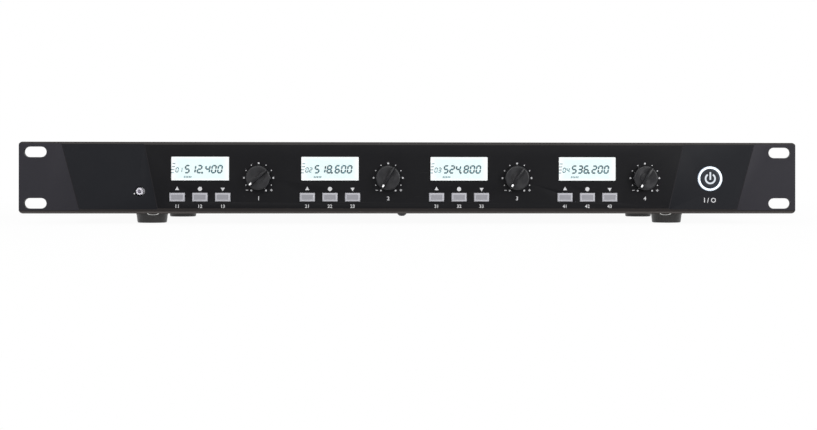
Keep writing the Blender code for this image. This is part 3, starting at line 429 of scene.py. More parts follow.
def dust_group():
    """A mask of thin dust: more on what faces up, broken by a cloudy pattern."""
    group, given, out = new_group(
        "settled_dust", [("Amount", 0.1)], [("Mask", "NodeSocketFloat")]
    )
    facing = add_node(group, "NewGeometry").outputs["Normal"]
    upright = add_node(group, "SeparateXYZ", [facing]).outputs["Z"]
    upward = spread(group, upright, low=-0.2, high=1.0)
    cloud = noise(group, own_place(group), scale=60.0, detail=6.0, roughness=0.65)
    spots = spread(group, cloud, low=0.42, high=0.72)
    both = maths(group, "MULTIPLY", upward, spots)
    feed(group, out, [maths(group, "MULTIPLY", both, given["Amount"], clamp=True)])
    return group


def scuff_group():
    """A mask of fine, short, level rub marks, as on handled paint."""
    group, given, out = new_group(
        "fine_scuffs", [("Amount", 0.1), ("Length", 0.01)], [("Mask", "NodeSocketFloat")]
    )
    place = own_place(group)
    stretched = add_node(group, "Mapping", {"Vector": place, "Scale": (1.0, 14.0, 14.0)})
    scale = maths(group, "DIVIDE", 1.0, given["Length"])
    streaks = noise(group, stretched.outputs[0], scale, detail=2.0)
    lines = spread(group, streaks, low=0.66, high=0.76)
    patches = spread(group, noise(group, place, scale=35.0, detail=2.0), low=0.5, high=0.65)
    both = maths(group, "MULTIPLY", lines, patches)
    feed(group, out, [maths(group, "MULTIPLY", both, given["Amount"], clamp=True)])
    return group


GROUP_MAKERS = {
    "surface_grain": grain_group, "settled_dust": dust_group, "fine_scuffs": scuff_group,
}


def place_group(tree, name, **values):
    """A node with one of the shared effects, which is made the first time that it is used."""
    node = add_node(tree, "Group")
    node.node_tree = bpy.data.node_groups.get(name) or GROUP_MAKERS[name]()
    return feed(tree, node, {key.replace("_", " ").title(): values[key] for key in values})


def new_material(name, constants):
    """A material with constants on its shader's sockets, then its node tree and the shader."""
    material = bpy.data.materials.new(name)
    material.use_nodes = True
    tree = material.node_tree
    return material, tree, feed(tree, tree.nodes["Principled BSDF"], constants)


ROUGHNESS_CHANGE = 0.12  # of a finish, over its grain
WEAR = (  # node group, colour, and how much rougher it makes a finish
    ("fine_scuffs", srgb(96, 96, 98), 0.12), ("settled_dust", srgb(150, 147, 142), 0.25),
)


def finish_material(
    name, colour, roughness, metallic=0.0, specular=0.3, grain=0.0004, tone=0.12,
    bump=0.05, bump_depth=0.00002, dust=0.0, scuffs=0.0,
):
    """A Principled finish whose colour, roughness and relief vary over the surface."""
    material, tree, shader = new_material(
        name, {"Metallic": metallic, "Specular IOR Level": specular}
    )
    base = place_group(
        tree, "surface_grain", colour=(*colour, 1.0), roughness=roughness, grain_size=grain,
        tone_change=tone, roughness_change=ROUGHNESS_CHANGE,
    )
    height = base.outputs["Height"]
    relief = add_node(tree, "Bump", {"Strength": bump, "Distance": bump_depth, "Height": height})
    shade = base.outputs["Colour"]
    rough = base.outputs["Roughness"]
    for amount, (group, tint, change) in zip((scuffs, dust), WEAR):
        if amount:
            mask = place_group(tree, group, amount=amount).outputs["Mask"]
            # A Mix node's inputs 6 and 7 and its output 2 are those of its colours.
            mix = add_node(tree, "Mix", {0: mask, 6: shade, 7: (*tint, 1.0)}, data_type="RGBA")
            shade = mix.outputs[2]
            rough = maths(tree, "MULTIPLY_ADD", mask, change, rough, clamp=True)
    feed(tree, shader, {"Base Color": shade, "Roughness": rough, "Normal": relief.outputs[0]})
    return material


def spin_finish(material, share):
    """Turning marks round the Y axis of a piece, which spread its reflections like a fan."""
    tree = material.node_tree
    around = add_node(tree, "Tangent", direction_type="RADIAL", axis="Y").outputs["Tangent"]
    feed(tree, tree.nodes["Principled BSDF"], {"Anisotropic": share, "Tangent": around})


RING_UNLIT = (0.6, 0.65, 0.7, 1.0)
SURFACE_UNLIT = (0.02, 0.03, 0.03, 1.0)
GLOW_EDGE = 0.72  # where a lit surface starts to change towards its edges, from 0 to 1
GLOW_CLOUDS = 0.25  # clouds of brightness across half of the surface's shorter side
GLOW_RANGE = (0.97, 1.02)  # their darkest and brightest share of the glow


def glowing_ring_material(name, colour, edge_colour, strength, centre, middle, full, faded):
    """A lit ring: full glow up to a distance from its middle radius, gone at a further one."""
    material, tree, shader = new_material(
        name, {"Base Color": RING_UNLIT, "Roughness": 0.3, "Emission Strength": strength}
    )
    moved = add_node(tree, "VectorMath", [own_place(tree), centre], operation="SUBTRACT")
    flat = add_node(
        tree, "VectorMath", [moved.outputs[0], (1.0, 0.0, 1.0)], operation="MULTIPLY"
    )
    radius = add_node(tree, "VectorMath", [flat.outputs[0]], operation="LENGTH").outputs["Value"]
    away = maths(tree, "ABSOLUTE", maths(tree, "SUBTRACT", radius, middle))
    share = maths(tree, "DIVIDE", away, faded)
    glow = soft_ramp(tree, share, full / faded, colour, edge_colour)
    feed(tree, shader, {"Emission Color": glow})
    return material


def glowing_material(name, colour, edge_colour, strength, centre, half_size):
    """A lit surface, whose glow changes towards the edges of a box round its centre."""
    material, tree, shader = new_material(
        name, {"Base Color": SURFACE_UNLIT, "Roughness": 0.4, "Emission Strength": strength}
    )
    place = own_place(tree)
    centred = add_node(
        tree, "Mapping", {"Vector": place, "Location": centre, "Scale": half_size},
        vector_type="TEXTURE",
    )
    split = add_node(tree, "SeparateXYZ", [centred.outputs[0]])
    across = maths(tree, "ABSOLUTE", split.outputs["X"])
    upward = maths(tree, "ABSOLUTE", split.outputs["Z"])
    furthest = maths(tree, "MAXIMUM", across, upward)
    glow = soft_ramp(tree, furthest, GLOW_EDGE, colour, edge_colour)
    cloud = noise(tree, place, GLOW_CLOUDS / min(half_size), detail=1.0)
    shade = scaled(tree, glow, spread(tree, cloud, 0.0, 1.0, *GLOW_RANGE))
    feed(tree, shader, {"Emission Color": shade})
    return material


def clear_material(name, tint=(1.0, 1.0, 1.0), roughness=0.03):
    """Clear plastic or resin, with the faint unevenness of a moulding."""
    material, tree, shader = new_material(
        name, {"Base Color": (*tint, 1.0), "Transmission Weight": 1.0, "IOR": 1.49}
    )
    base = place_group(
        tree, "surface_grain", roughness=roughness, grain_size=0.003, roughness_change=0.04
    )
    feed(tree, shader, {"Roughness": base.outputs["Roughness"]})
    return material


# --- mesh tools -----------------------------------------------------------------------------
def link_object(name, data):
    made = bpy.data.objects.new(name, data)
    bpy.context.scene.collection.objects.link(made)
    return made


def finish_piece(shape, name, body, materials, node=None):
    """Turns a bmesh into a piece of the object that rides on a body and may replace a node."""
    bmesh.ops.recalc_face_normals(shape, faces=shape.faces)
    mesh = bpy.data.meshes.new(name)
    shape.to_mesh(mesh)
    shape.free()
    for material in materials:
        mesh.materials.append(material)
    mesh.shade_smooth()
    mesh.set_sharp_from_angle(angle=SMOOTH_ANGLE)
    piece = link_object(name, mesh)
    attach(piece, body)
    if node:
        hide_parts(node)
    return piece


def copy_of(node):
    """A node's mesh, with its loose triangles joined into flat faces."""
    shape = bmesh.new()
    shape.from_mesh(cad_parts[node].data)
    bmesh.ops.remove_doubles(shape, verts=shape.verts, dist=MERGE)
    bmesh.ops.dissolve_limit(
        shape, angle_limit=FLAT_ANGLE, verts=shape.verts, edges=shape.edges
    )
    bmesh.ops.recalc_face_normals(shape, faces=shape.faces)
    return shape


def soften(piece, radius):
    """Rounds the sharp edges of a piece."""
    bevel = piece.modifiers.new("Softened edges", "BEVEL")
    bevel.width = radius
    bevel.segments = 2
    bevel.limit_method = "ANGLE"
    bevel.angle_limit = SMOOTH_ANGLE
    bevel.miter_outer = "MITER_ARC"


def softened_copy(node, materials, radius, zone=None):
    """A finer copy of a fixed node in its place; zone gives each face's material by its number."""
    shape = copy_of(node)
    if zone:
        for face in shape.faces:
            face.material_index = zone(face)
    soften(finish_piece(shape, node + "_look", "chassis", materials, node), radius)


def turned_shape(profile, matrix, steps):
    """A full turn of a profile of (radius, rise) points about own Z, then placed by the matrix."""
    shape = bmesh.new()
    corners = [shape.verts.new((radius, 0.0, rise)) for radius, rise in profile]
    edges = [shape.edges.new(pair) for pair in zip(corners, corners[1:])]
    bmesh.ops.spin(
        shape, geom=corners + edges, angle=FULL_TURN, steps=steps, axis=(0, 0, 1),
        cent=(0, 0, 0), use_merge=True,
    )
    bmesh.ops.remove_doubles(shape, verts=shape.verts, dist=MERGE)
    bmesh.ops.transform(shape, matrix=matrix, verts=shape.verts)
    return shape


def rounded_rim(radius, rise, edge, height=None, steps=4):
    """Profile points of a quarter round, or oval, from a wall to a face at this rise."""
    height = height or edge
    angles = [math.radians(90 * step / steps) for step in range(steps + 1)]
    return [
        (radius - edge + edge * math.cos(angle), rise - height + height * math.sin(angle))
        for angle in angles
    ]


def round_place(node):
    """A turned node's radius and length, and the place of its back's middle, facing the front."""
    low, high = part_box(node)
    middle = Vector(((low.x + high.x) / 2, high.y, (low.z + high.z) / 2))
    return (high.z - low.z) / 2, high.y - low.y, Matrix.Translation(middle) @ FACING_FRONT


def add_block(shape, low, high):
    """A box between two corners."""
    size = Vector(high) - Vector(low)
    middle = (Vector(high) + Vector(low)) / 2
    matrix = Matrix.Translation(middle) @ Matrix.Diagonal((*size, 1.0))
    bmesh.ops.create_cube(shape, size=1.0, matrix=matrix)


def add_disc(shape, matrix, radius, thickness, sides=24):
    """A flat disc on own Z = 0, rising by its thickness."""
    lift = Matrix.Translation((0, 0, thickness / 2))
    bmesh.ops.create_cone(
        shape, cap_ends=True, segments=sides, radius1=radius, radius2=radius, depth=thickness,
        matrix=matrix @ lift,
    )


def add_arc(shape, matrix, outer, inner, thickness, start, sweep, steps=40):
    """A flat ring, or a part of one: it starts at an angle from own +Y and turns clockwise."""
    low = bmesh.new()
    add_block(low, (inner, -MERGE, 0), (outer, MERGE, thickness))
    ends = [face for face in low.faces if face.normal.y < -0.9]
    others = [face for face in low.faces if face not in ends]
    bmesh.ops.delete(low, geom=others, context="FACES")
    bmesh.ops.spin(
        low, geom=low.faces[:] + low.edges[:] + low.verts[:], angle=-sweep, steps=steps,
        axis=(0, 0, 1), cent=(0, 0, 0),
    )
    bmesh.ops.rotate(
        low, verts=low.verts, cent=(0, 0, 0),
        matrix=Matrix.Rotation(math.radians(90) - start, 3, "Z"),
    )
    bmesh.ops.transform(low, matrix=matrix, verts=low.verts)
    merge_into(shape, low)


def merge_into(shape, other, material=None):
    """Adds one bmesh to another and frees it."""
    mesh = bpy.data.meshes.new("passing")
    if material is not None:
        for face in other.faces:
            face.material_index = material
    other.to_mesh(mesh)
    other.free()
    shape.from_mesh(mesh)
    bpy.data.meshes.remove(mesh)


def add_words(shape, words, matrix, height, thickness):
    """Plain figures or signs as a thin plate on own Z = 0, with their middle at the origin."""
    curve = bpy.data.curves.new("words", "FONT")
    curve.body = words
    curve.align_x = "CENTER"
    curve.resolution_u = 3
    curve.extrude = 0.5
    curve.offset = 0.014  # a bolder stroke
    guide = link_object("words", curve)
    graph = bpy.context.evaluated_depsgraph_get()
    mesh = bpy.data.meshes.new_from_object(guide.evaluated_get(graph))
    bpy.data.objects.remove(guide)
    bpy.data.curves.remove(curve)
    plate = bmesh.new()
    plate.from_mesh(mesh)
    bpy.data.meshes.remove(mesh)
    bmesh.ops.remove_doubles(plate, verts=plate.verts, dist=MERGE)
    low = min(corner.co.y for corner in plate.verts)
    high = max(corner.co.y for corner in plate.verts)
    scale = height / (high - low)
    size = Matrix.Diagonal((scale, scale, thickness, 1.0))
    centre = Matrix.Translation((0, -(low + high) / 2, 0.5))
    bmesh.ops.transform(plate, matrix=matrix @ size @ centre, verts=plate.verts)
    merge_into(shape, plate)


def on_front(x, height, rise=0.0):
    """A flat place on the centre field: own X to the right, own Y up, own Z towards the viewer."""
    return Matrix.Translation((x, FACE_Y - rise, MID_Z + height)) @ FACING_FRONT


def display_centre(channel):
    return front_of(f"display_window_{channel}")


def knob_centre(channel):
    centre = centre_of(f"volume_knob_{channel}")
    return Vector((centre.x, FACE_Y, centre.z))


# --- front panel ----------------------------------------------------------------------------
PANEL_ZONES = (
    "centre", "middle", "ear", "step", "top_edge", "bottom_edge", "lip", "behind"
)


FIELDS = (("centre", 0.0003), ("middle", 0.0009), ("ear", 0.0015))  # each one's greatest depth
CHAMFER_HEIGHT = 0.018  # the chamfers lie further than this from the mid-line
FLAT = 0.99  # least share of a flat face's normal towards the viewer
CHAMFER_TILT = (0.1, 0.3)  # least shares of a chamfer's normal towards the viewer, and up or down
STEP_TILT = (0.3, 0.1)  # the same of a sloping step's, towards the viewer, and across


def leans(shares, least):
    """Whether each share of a normal is over its least one."""
    return all(share > limit for share, limit in zip(shares, least))


def panel_zone(face, lip_top):
    """Which paint, or painted light on a chamfer, a face of the panel has, from where it is and
    which way it looks.
    """
    middle = face.calc_center_median()
    height = middle.z - MID_Z
    out = -face.normal.y
    word = "behind"
    if out > FLAT:
        word = next((field for field, limit in FIELDS if middle.y - FACE_Y < limit), word)
    elif abs(height) > CHAMFER_HEIGHT and leans((out, abs(face.normal.z)), CHAMFER_TILT):
        low_word = "lip" if middle.z < lip_top else "bottom_edge"
        word = "top_edge" if height > 0 else low_word
    elif leans((out, abs(face.normal.x)), STEP_TILT):
        word = "step"
    return PANEL_ZONES.index(word)


class RECEIVER_OT_panel(bpy.types.Operator):
    """Front panel with its stepped fields and chamfered long edges, and the clear windows"""

    bl_idname = "receiver.panel"
    bl_label = "Front panel"

    def execute(self, context):
        look = context.scene.receiver_panel
        paints = [
            finish_material(
                "panel_" + word, getattr(look, word + "_colour"), look.roughness,
                specular=look.shine, grain=0.0006, tone=0.10, bump=0.25, dust=0.02, scuffs=0.05,
            )
            for word in PANEL_ZONES
        ]
        shape = copy_of("front_panel")
        # The lower half of the bottom chamfer is split off to take the painted highlight.
        lip_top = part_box("front_panel")[0].z + look.lip_height
        bmesh.ops.bisect_plane(
            shape, geom=shape.verts[:] + shape.edges[:] + shape.faces[:], dist=MERGE,
            plane_co=(0, 0, lip_top), plane_no=(0, 0, 1),
        )
        for face in shape.faces:
            face.material_index = panel_zone(face, lip_top)
        panel = finish_piece(
            shape, "front_panel_look", "chassis", paints, "front_panel"
        )
        soften(panel, look.edge_radius)
        clear = clear_material("window_clear")
        for channel in CHANNELS:
            softened_copy(f"display_window_{channel}", [clear], look.edge_radius)
        return {"FINISHED"}


# --- displays -------------------------------------------------------------------------------
SEGMENTS = {  # middle of each bar in digit widths and heights from the digit's middle, and its turn
    "top": (0.0, 0.5, False), "middle": (0.0, 0.0, False), "bottom": (0.0, -0.5, False),
    "upper_left": (-0.5, 0.25, True), "upper_right": (0.5, 0.25, True),
    "lower_left": (-0.5, -0.25, True), "lower_right": (0.5, -0.25, True),
}
LIT = {
    "0": ("top", "bottom", "upper_left", "upper_right", "lower_left", "lower_right"),
    "1": ("upper_right", "lower_right"),
    "2": ("top", "middle", "bottom", "upper_right", "lower_left"),
    "3": ("top", "middle", "bottom", "upper_right", "lower_right"),
    "4": ("middle", "upper_left", "upper_right", "lower_right"),
    "5": ("top", "middle", "bottom", "upper_left", "lower_right"),
    "6": ("top", "middle", "bottom", "upper_left", "lower_left", "lower_right"),
    "8": tuple(SEGMENTS),
}
DIGIT_SHARE = 0.54  # width of a digit between its side bars' middles, as a share of its height
DIGIT_PITCH = 0.86  # from digit to digit, as a share of the height
BAR_SHARE = 0.21  # width of a bar, as a share of the digit's height
POINT_GAP = 0.28  # what the point adds between two digits, as a share of the height
DOT_SHARE = 0.6  # half the point's side, as a share of a bar's width
BAR_TRIM = 0.25  # what each bar is shortened by, as a share of its width
POINTED = 0.42  # length of a bar's pointed end, as a share of its width
INK_RISE = 0.00008  # from the display's face to the back of its dark segments
INK = 0.00006


def add_bar(shape, place, length, width, upright):
    """One bar of a digit, with pointed ends, standing out of the display."""
    size = Vector((width, INK, length)) if upright else Vector((length, INK, width))
    bar = bmesh.new()
    add_block(bar, place - size / 2, place + size / 2)
    ends = [
        edge for edge in bar.edges
        if abs((edge.verts[0].co - edge.verts[1].co).normalized().y) > 0.9
    ]
    bmesh.ops.bevel(
        bar, geom=ends, offset=width * POINTED, segments=1, profile=0.5, affect="EDGES"
    )
    merge_into(shape, bar)


def add_digits(shape, words, start, height):
    """A row of seven-bar digits; start is the middle of the first one. A point adds a dot."""
    place = Vector(start)
    width = height * DIGIT_SHARE
    bar = height * BAR_SHARE
    for word in words:
        if word == ".":
            dot = place + Vector((-height * DIGIT_PITCH / 2, 0, -height / 2))
            half = Vector((bar * DOT_SHARE, INK / 2, bar * DOT_SHARE))
            add_block(shape, dot - half, dot + half)
            place.x += height * POINT_GAP
            continue
        for name in LIT[word]:
            across, up, upright = SEGMENTS[name]
            middle = place + Vector((across * width, 0, up * height))
            length = (height / 2 if upright else width) - bar * BAR_TRIM
            add_bar(shape, middle, length, bar, upright)
        place.x += height * DIGIT_PITCH


class RECEIVER_OT_displays(bpy.types.Operator):
    """Lit display modules with dark seven-bar digits behind the windows"""

    bl_idname = "receiver.displays"
    bl_label = "Displays"

    def execute(self, context):
        look = context.scene.receiver_displays
        frame_paint = finish_material("display_frame", srgb(52, 53, 55), roughness=0.6)
        inks = [
            finish_material("display_ink", look.segment_colour, roughness=0.5, specular=0.1),
            finish_material("display_pale", look.pale_segment_colour, roughness=0.5, specular=0.1),
        ]
        readings = look.readings.split(",")
        for channel in CHANNELS:
            node = f"display_module_{channel}"
            face = front_of(node)
            window_low, window_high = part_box(f"display_window_{channel}")
            centre = display_centre(channel)
            half = (window_high - window_low) / 2
            glow = glowing_material(
                f"display_glow_{channel}", look.glow_colour, look.edge_glow_colour,
                look.glow, (centre.x, face.y, centre.z), (half.x, 1.0, half.z),
            )

            def zone(side, face_y=face.y):
                looks_out = side.normal.y < -0.9
                return 1 if looks_out and abs(side.calc_center_median().y - face_y) < SEAM else 0

            softened_copy(node, [frame_paint, glow], SEAM / 2, zone)
            self.add_ink(look, channel, centre, face.y, readings[channel - 1], inks)
        return {"FINISHED"}

    def add_ink(self, look, channel, centre, face_y, reading, inks):
        """The segments of one display: the dark reading, pale small figures and level bars."""
        shape = bmesh.new()
        pale = bmesh.new()
        middle = Vector((centre.x, face_y - INK_RISE, centre.z))
        large = look.large_digit
        small = look.small_digit
        base = middle + Vector((0, 0, -large / 2))
        first = base + Vector((look.reading_start, 0, large / 2 - look.reading_drop))
        add_digits(shape, reading[:3] + "." + reading[3:], first, large)
        low = base + Vector((look.number_start, 0, small / 2))
        add_digits(pale, f"{channel:02d}", low, small)
        marks = [
            (look.column_x, look.column_low + look.column_pitch * step, look.column_bar)
            for step in range(look.column_count)
        ] + [
            (look.level_x + look.level_pitch * step, look.level_height, look.level_bar)
            for step in range(look.level_count)
        ]
        for x, height, size in marks:
            spot = middle + Vector((x, 0, height))
            half = Vector((*size, INK)).xzy / 2
            add_block(pale, spot - half, spot + half)
        merge_into(shape, pale, 1)
        lean = Matrix.Identity(4)
        lean[0][2] = look.slant
        about = Matrix.Translation(middle) @ lean @ Matrix.Translation(-middle)
        bmesh.ops.transform(shape, matrix=about, verts=shape.verts)
        finish_piece(shape, f"display_ink_{channel}", "chassis", inks)


# --- keys -----------------------------------------------------------------------------------
class RECEIVER_OT_keys(bpy.types.Operator):
    """Twelve grey keys whose bevelled rim is painted lighter as a highlight"""

    bl_idname = "receiver.keys"
    bl_label = "Keys"

    def execute(self, context):
        look = context.scene.receiver_controls
        face = finish_material(
            "key_face", look.key_colour, roughness=0.48, specular=0.35, grain=0.00035, tone=0.30,
            bump=0.5, bump_depth=0.00005, dust=0.04,
        )
        # The rim's lighter grey is a painted highlight on the bevel.
        rim = finish_material(
            "key_rim", look.key_rim_colour, roughness=0.42, grain=0.0006, dust=0.04
        )
        for channel in CHANNELS:
            for word in KEY_NAMES:
                node = f"key_{word}_{channel}"
                shape = self.key_shape(node, look.key_rim)
                piece = finish_piece(shape, node + "_look", node, [face, rim], node)
                soften(piece, look.key_softness)
        return {"FINISHED"}

    def key_shape(self, node, rim_width):
        """A key's front takes the first material inside its rim, and all else the second."""
        shape = copy_of(node)
        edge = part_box(node)[0].y + SEAM
        front = [
            side for side in shape.faces
            if side.normal.y < -0.95 and side.calc_center_median().y < edge
        ]
        for side in shape.faces:
            side.material_index = 1
        bmesh.ops.inset_individual(shape, faces=front, thickness=rim_width)
        for side in front:
            side.material_index = 0
        return shape


# --- knobs ----------------------------------------------------------------------------------
KNOB_SOCKET = 0.0062  # depth of the shaft's hole
KNOB_CHAMFER = 0.0003  # at the back
KNOB_DRAFT = 0.0002  # how much smaller the radius is at the face
KNOB_EDGE = 0.0009
KNOB_DISH = ((0.55, 0.00025), (0.0, 0.0003))  # shares of the radius, and the depth there
GRIP_ROOT = 0.0008  # how far into the disc the grip bar reaches
GRIP_SLOPE = 0.10  # of its sides
GRIP_EDGE = 0.00035


class RECEIVER_OT_knobs(bpy.types.Operator):
    """Turned knobs with a raised grip bar and a white pointer mark"""

    bl_idname = "receiver.knobs"
    bl_label = "Knobs"

    def execute(self, context):
        look = context.scene.receiver_controls
        body = finish_material(
            "knob_body", look.knob_colour, roughness=0.30, specular=0.36, grain=0.0005, tone=0.15,
            bump=0.3, dust=0.05, scuffs=0.06,
        )
        spin_finish(body, look.knob_spin)
        mark = finish_material("knob_mark", srgb(244, 244, 244), roughness=0.45, tone=0.05)
        for channel in CHANNELS:
            self.add_knob(look, channel, [body, mark])
        return {"FINISHED"}

    def add_knob(self, look, channel, materials):
        node = f"volume_knob_{channel}"
        radius, reach, place = round_place(node)
        disc = reach - look.grip_rise
        turn = Matrix.Rotation(-math.radians(POINTER_ANGLES[channel - 1]), 4, "Z")
        socket = look.shaft_radius + SEAM
        profile = [
            (0.0, KNOB_SOCKET), (socket, KNOB_SOCKET), (socket, 0.0),
            (radius - KNOB_CHAMFER, 0.0), (radius, KNOB_CHAMFER),
        ]
        profile += rounded_rim(radius - KNOB_DRAFT, disc, KNOB_EDGE)
        profile += [(radius * share, disc - depth) for share, depth in KNOB_DISH]
        shape = turned_shape(profile, Matrix.Identity(4), look.round_steps)
        merge_into(shape, self.grip_shape(look, radius - look.grip_inset, disc, reach - PRINT))
        spot = Matrix.Translation((0, look.mark_radius, reach - PRINT))
        pill = bmesh.new()
        add_disc(pill, spot, look.mark_width / 2, PRINT, sides=20)
        for corner in pill.verts:
            side = 1 if corner.co.y > look.mark_radius else -1
            corner.co.y += side * look.mark_length / 2
        merge_into(shape, pill, 1)
        bmesh.ops.transform(shape, matrix=place @ turn, verts=shape.verts)
        finish_piece(shape, node + "_look", f"volume_{channel}", materials, node)

    def grip_shape(self, look, radius, disc, top):
        """The grip bar: a slice of a round block, with its edges rounded."""
        shape = bmesh.new()
        root = disc - GRIP_ROOT
        add_disc(shape, Matrix.Translation((0, 0, root)), radius, top - root, look.round_steps)
        for side in (-1, 1):
            cut = bmesh.ops.bisect_plane(
                shape, geom=shape.verts[:] + shape.edges[:] + shape.faces[:], dist=MERGE,
                plane_co=(side * look.grip_width / 2, 0, 0), plane_no=(side, 0, GRIP_SLOPE),
                clear_outer=True,
            )
            rim = [item for item in cut["geom_cut"] if isinstance(item, bmesh.types.BMEdge)]
            bmesh.ops.edgeloop_fill(shape, edges=rim)
        bmesh.ops.recalc_face_normals(shape, faces=shape.faces)
        edges = [
            edge for edge in shape.edges
            if edge.calc_face_angle(0.0) > SMOOTH_ANGLE
            and max(corner.co.z for corner in edge.verts) > disc
        ]
        bmesh.ops.bevel(
            shape, geom=edges, offset=GRIP_EDGE, segments=3, profile=0.5, affect="EDGES"
        )
        return shape


# --- power button ---------------------------------------------------------------------------
RING_EDGE = 0.00025
CAP_EDGE = 0.0005
CAP_DISH = ((0.7, 0.0001), (0.0, 0.00012))  # shares of the radius, and the depth there
SIGN_ROOT = 0.00013  # how far below the cap's edge its sign starts
SIGN_BAR = (-0.0007, 0.0041)  # ends of the sign's upright bar, from its middle


class RECEIVER_OT_power(bpy.types.Operator):
    """Glowing ring, pressing cap and its white sign"""

    bl_idname = "receiver.power"
    bl_label = "Power button"

    def execute(self, context):
        look = context.scene.receiver_controls
        self.add_ring(look)
        self.add_cap(look)
        return {"FINISHED"}

    def add_ring(self, look):
        outer, reach, place = round_place("power_ring")
        inner = look.ring_inner
        glow = glowing_ring_material(
            "ring_glow", look.ring_colour, look.ring_edge_colour, look.ring_glow,
            place.translation, look.ring_middle, look.ring_full, look.ring_faded,
        )
        profile = [(inner, 0.0), (outer, 0.0)] + rounded_rim(outer, reach, RING_EDGE)
        profile += [(inner + RING_EDGE, reach), (inner, reach - RING_EDGE), (inner, 0.0)]
        shape = turned_shape(profile, place, look.round_steps)
        finish_piece(shape, "power_ring_look", "chassis", [glow], "power_ring")

    def add_cap(self, look):
        radius, length, place = round_place("power_button")
        reach = length - PRINT
        stem = reach - look.cap_disc
        black = finish_material(
            "power_cap", srgb(24, 29, 38), roughness=0.30, grain=0.0005, bump=0.2, dust=0.05
        )
        light = srgb(236, 242, 250)
        white = glowing_material(
            "power_sign", light, light, 0.85, place.translation, (radius, 1.0, radius)
        )
        profile = [
            (0.0, 0.0), (look.shaft_radius, 0.0), (look.shaft_radius, stem), (radius, stem),
        ]
        profile += rounded_rim(radius, reach, CAP_EDGE)
        profile += [(radius * share, reach - depth) for share, depth in CAP_DISH]
        shape = turned_shape(profile, Matrix.Identity(4), look.round_steps)
        merge_into(shape, self.sign_shape(look, reach - SIGN_ROOT, length), 1)
        bmesh.ops.transform(shape, matrix=place, verts=shape.verts)
        finish_piece(
            shape, "power_button_look", "power_button", [black, white],
            "power_button",
        )

    def sign_shape(self, look, low, high):
        """An open ring with an upright bar in its gap."""
        sign = bmesh.new()
        outer = look.sign_size / 2
        half = look.sign_stroke / 2
        gap = math.radians(look.sign_gap)
        face = Matrix.Translation((0, 0, low))
        add_arc(sign, face, outer, outer - 2 * half, high - low, gap / 2, FULL_TURN - gap)
        add_block(sign, (-half, SIGN_BAR[0], low), (half, SIGN_BAR[1], high))
        return sign


# --- infrared emitter -----------------------------------------------------------------------
COLLAR = 0.0010  # height of the emitter's flange
DOME_SHARE = 0.8  # the dome's height, as a share of its radius
DOME_STEPS = 8
CHIP = ((-0.0002, -0.0005), (0.0007, 0.0006))  # corners of the chip, from the emitter's middle
CHIP_SHADE_SHIFT = 0.0001  # of the dark disc under the chip


class RECEIVER_OT_emitter(bpy.types.Operator):
    """Clear domed emitter with a cup inside whose white is a painted reflection"""

    bl_idname = "receiver.emitter"
    bl_label = "Infrared emitter"

    def execute(self, context):
        look = context.scene.receiver_controls
        rim, reach, place = round_place("sync_led")
        radius = look.emitter_radius
        dome = radius * DOME_SHARE
        profile = [(0.0, 0.0), (rim, 0.0), (rim, COLLAR), (radius, COLLAR)]
        profile += rounded_rim(radius, reach, radius, dome, DOME_STEPS)
        shape = turned_shape(profile, place, look.round_steps // 2)
        clear = clear_material("emitter_clear", srgb(250, 250, 255), 0.05)
        finish_piece(shape, "sync_led_look", "chassis", [clear], "sync_led")
        top = reach - dome / 2
        self.add_cup(look, top, top - dome, place)
        return {"FINISHED"}

    def add_cup(self, look, top, back, place):
        """The cup behind the dome, plain white as a painted reflection of its metal, with a dark
        chip on its floor.
        """
        # Matt white in place of the cup's metal: a painted reflection.
        painted_reflection = finish_material(
            "emitter_cup", srgb(250, 248, 252), roughness=0.4, specular=0.5, grain=0.001, bump=0.1
        )
        dark = finish_material("emitter_die", srgb(104, 97, 112), roughness=0.4, grain=0.001)
        floor = top - look.cup_depth
        bowl = [
            (0.0, floor), (look.cup_floor, floor), (look.cup_mouth, top), (look.cup_rim, top),
            (look.cup_rim, back), (0.0, back),
        ]
        cup = turned_shape(bowl, Matrix.Identity(4), look.round_steps // 2)
        chip = bmesh.new()
        shade = Matrix.Translation((CHIP_SHADE_SHIFT, 0, floor))
        add_disc(chip, shade, look.cup_floor, MERGE)
        add_block(chip, (*CHIP[0], floor), (*CHIP[1], top - MERGE))
        merge_into(cup, chip, 1)
        bmesh.ops.transform(cup, matrix=place, verts=cup.verts)
        finish_piece(cup, "emitter_cup", "chassis", [painted_reflection, dark])


# --- printed marks --------------------------------------------------------------------------
TRIANGLE_SHARE = 0.56  # a triangle's radius, as a share of a sign's size
SCALE_STEP = math.radians(30)
DOTS = range(-5, 6)  # steps from straight up
LARGE_DOTS = (-5, -3, 0, 3, 5)
SMALL_DOT = 0.62  # as a share of a large one
PLUS_STROKE = 0.26  # as a share of the sign's size


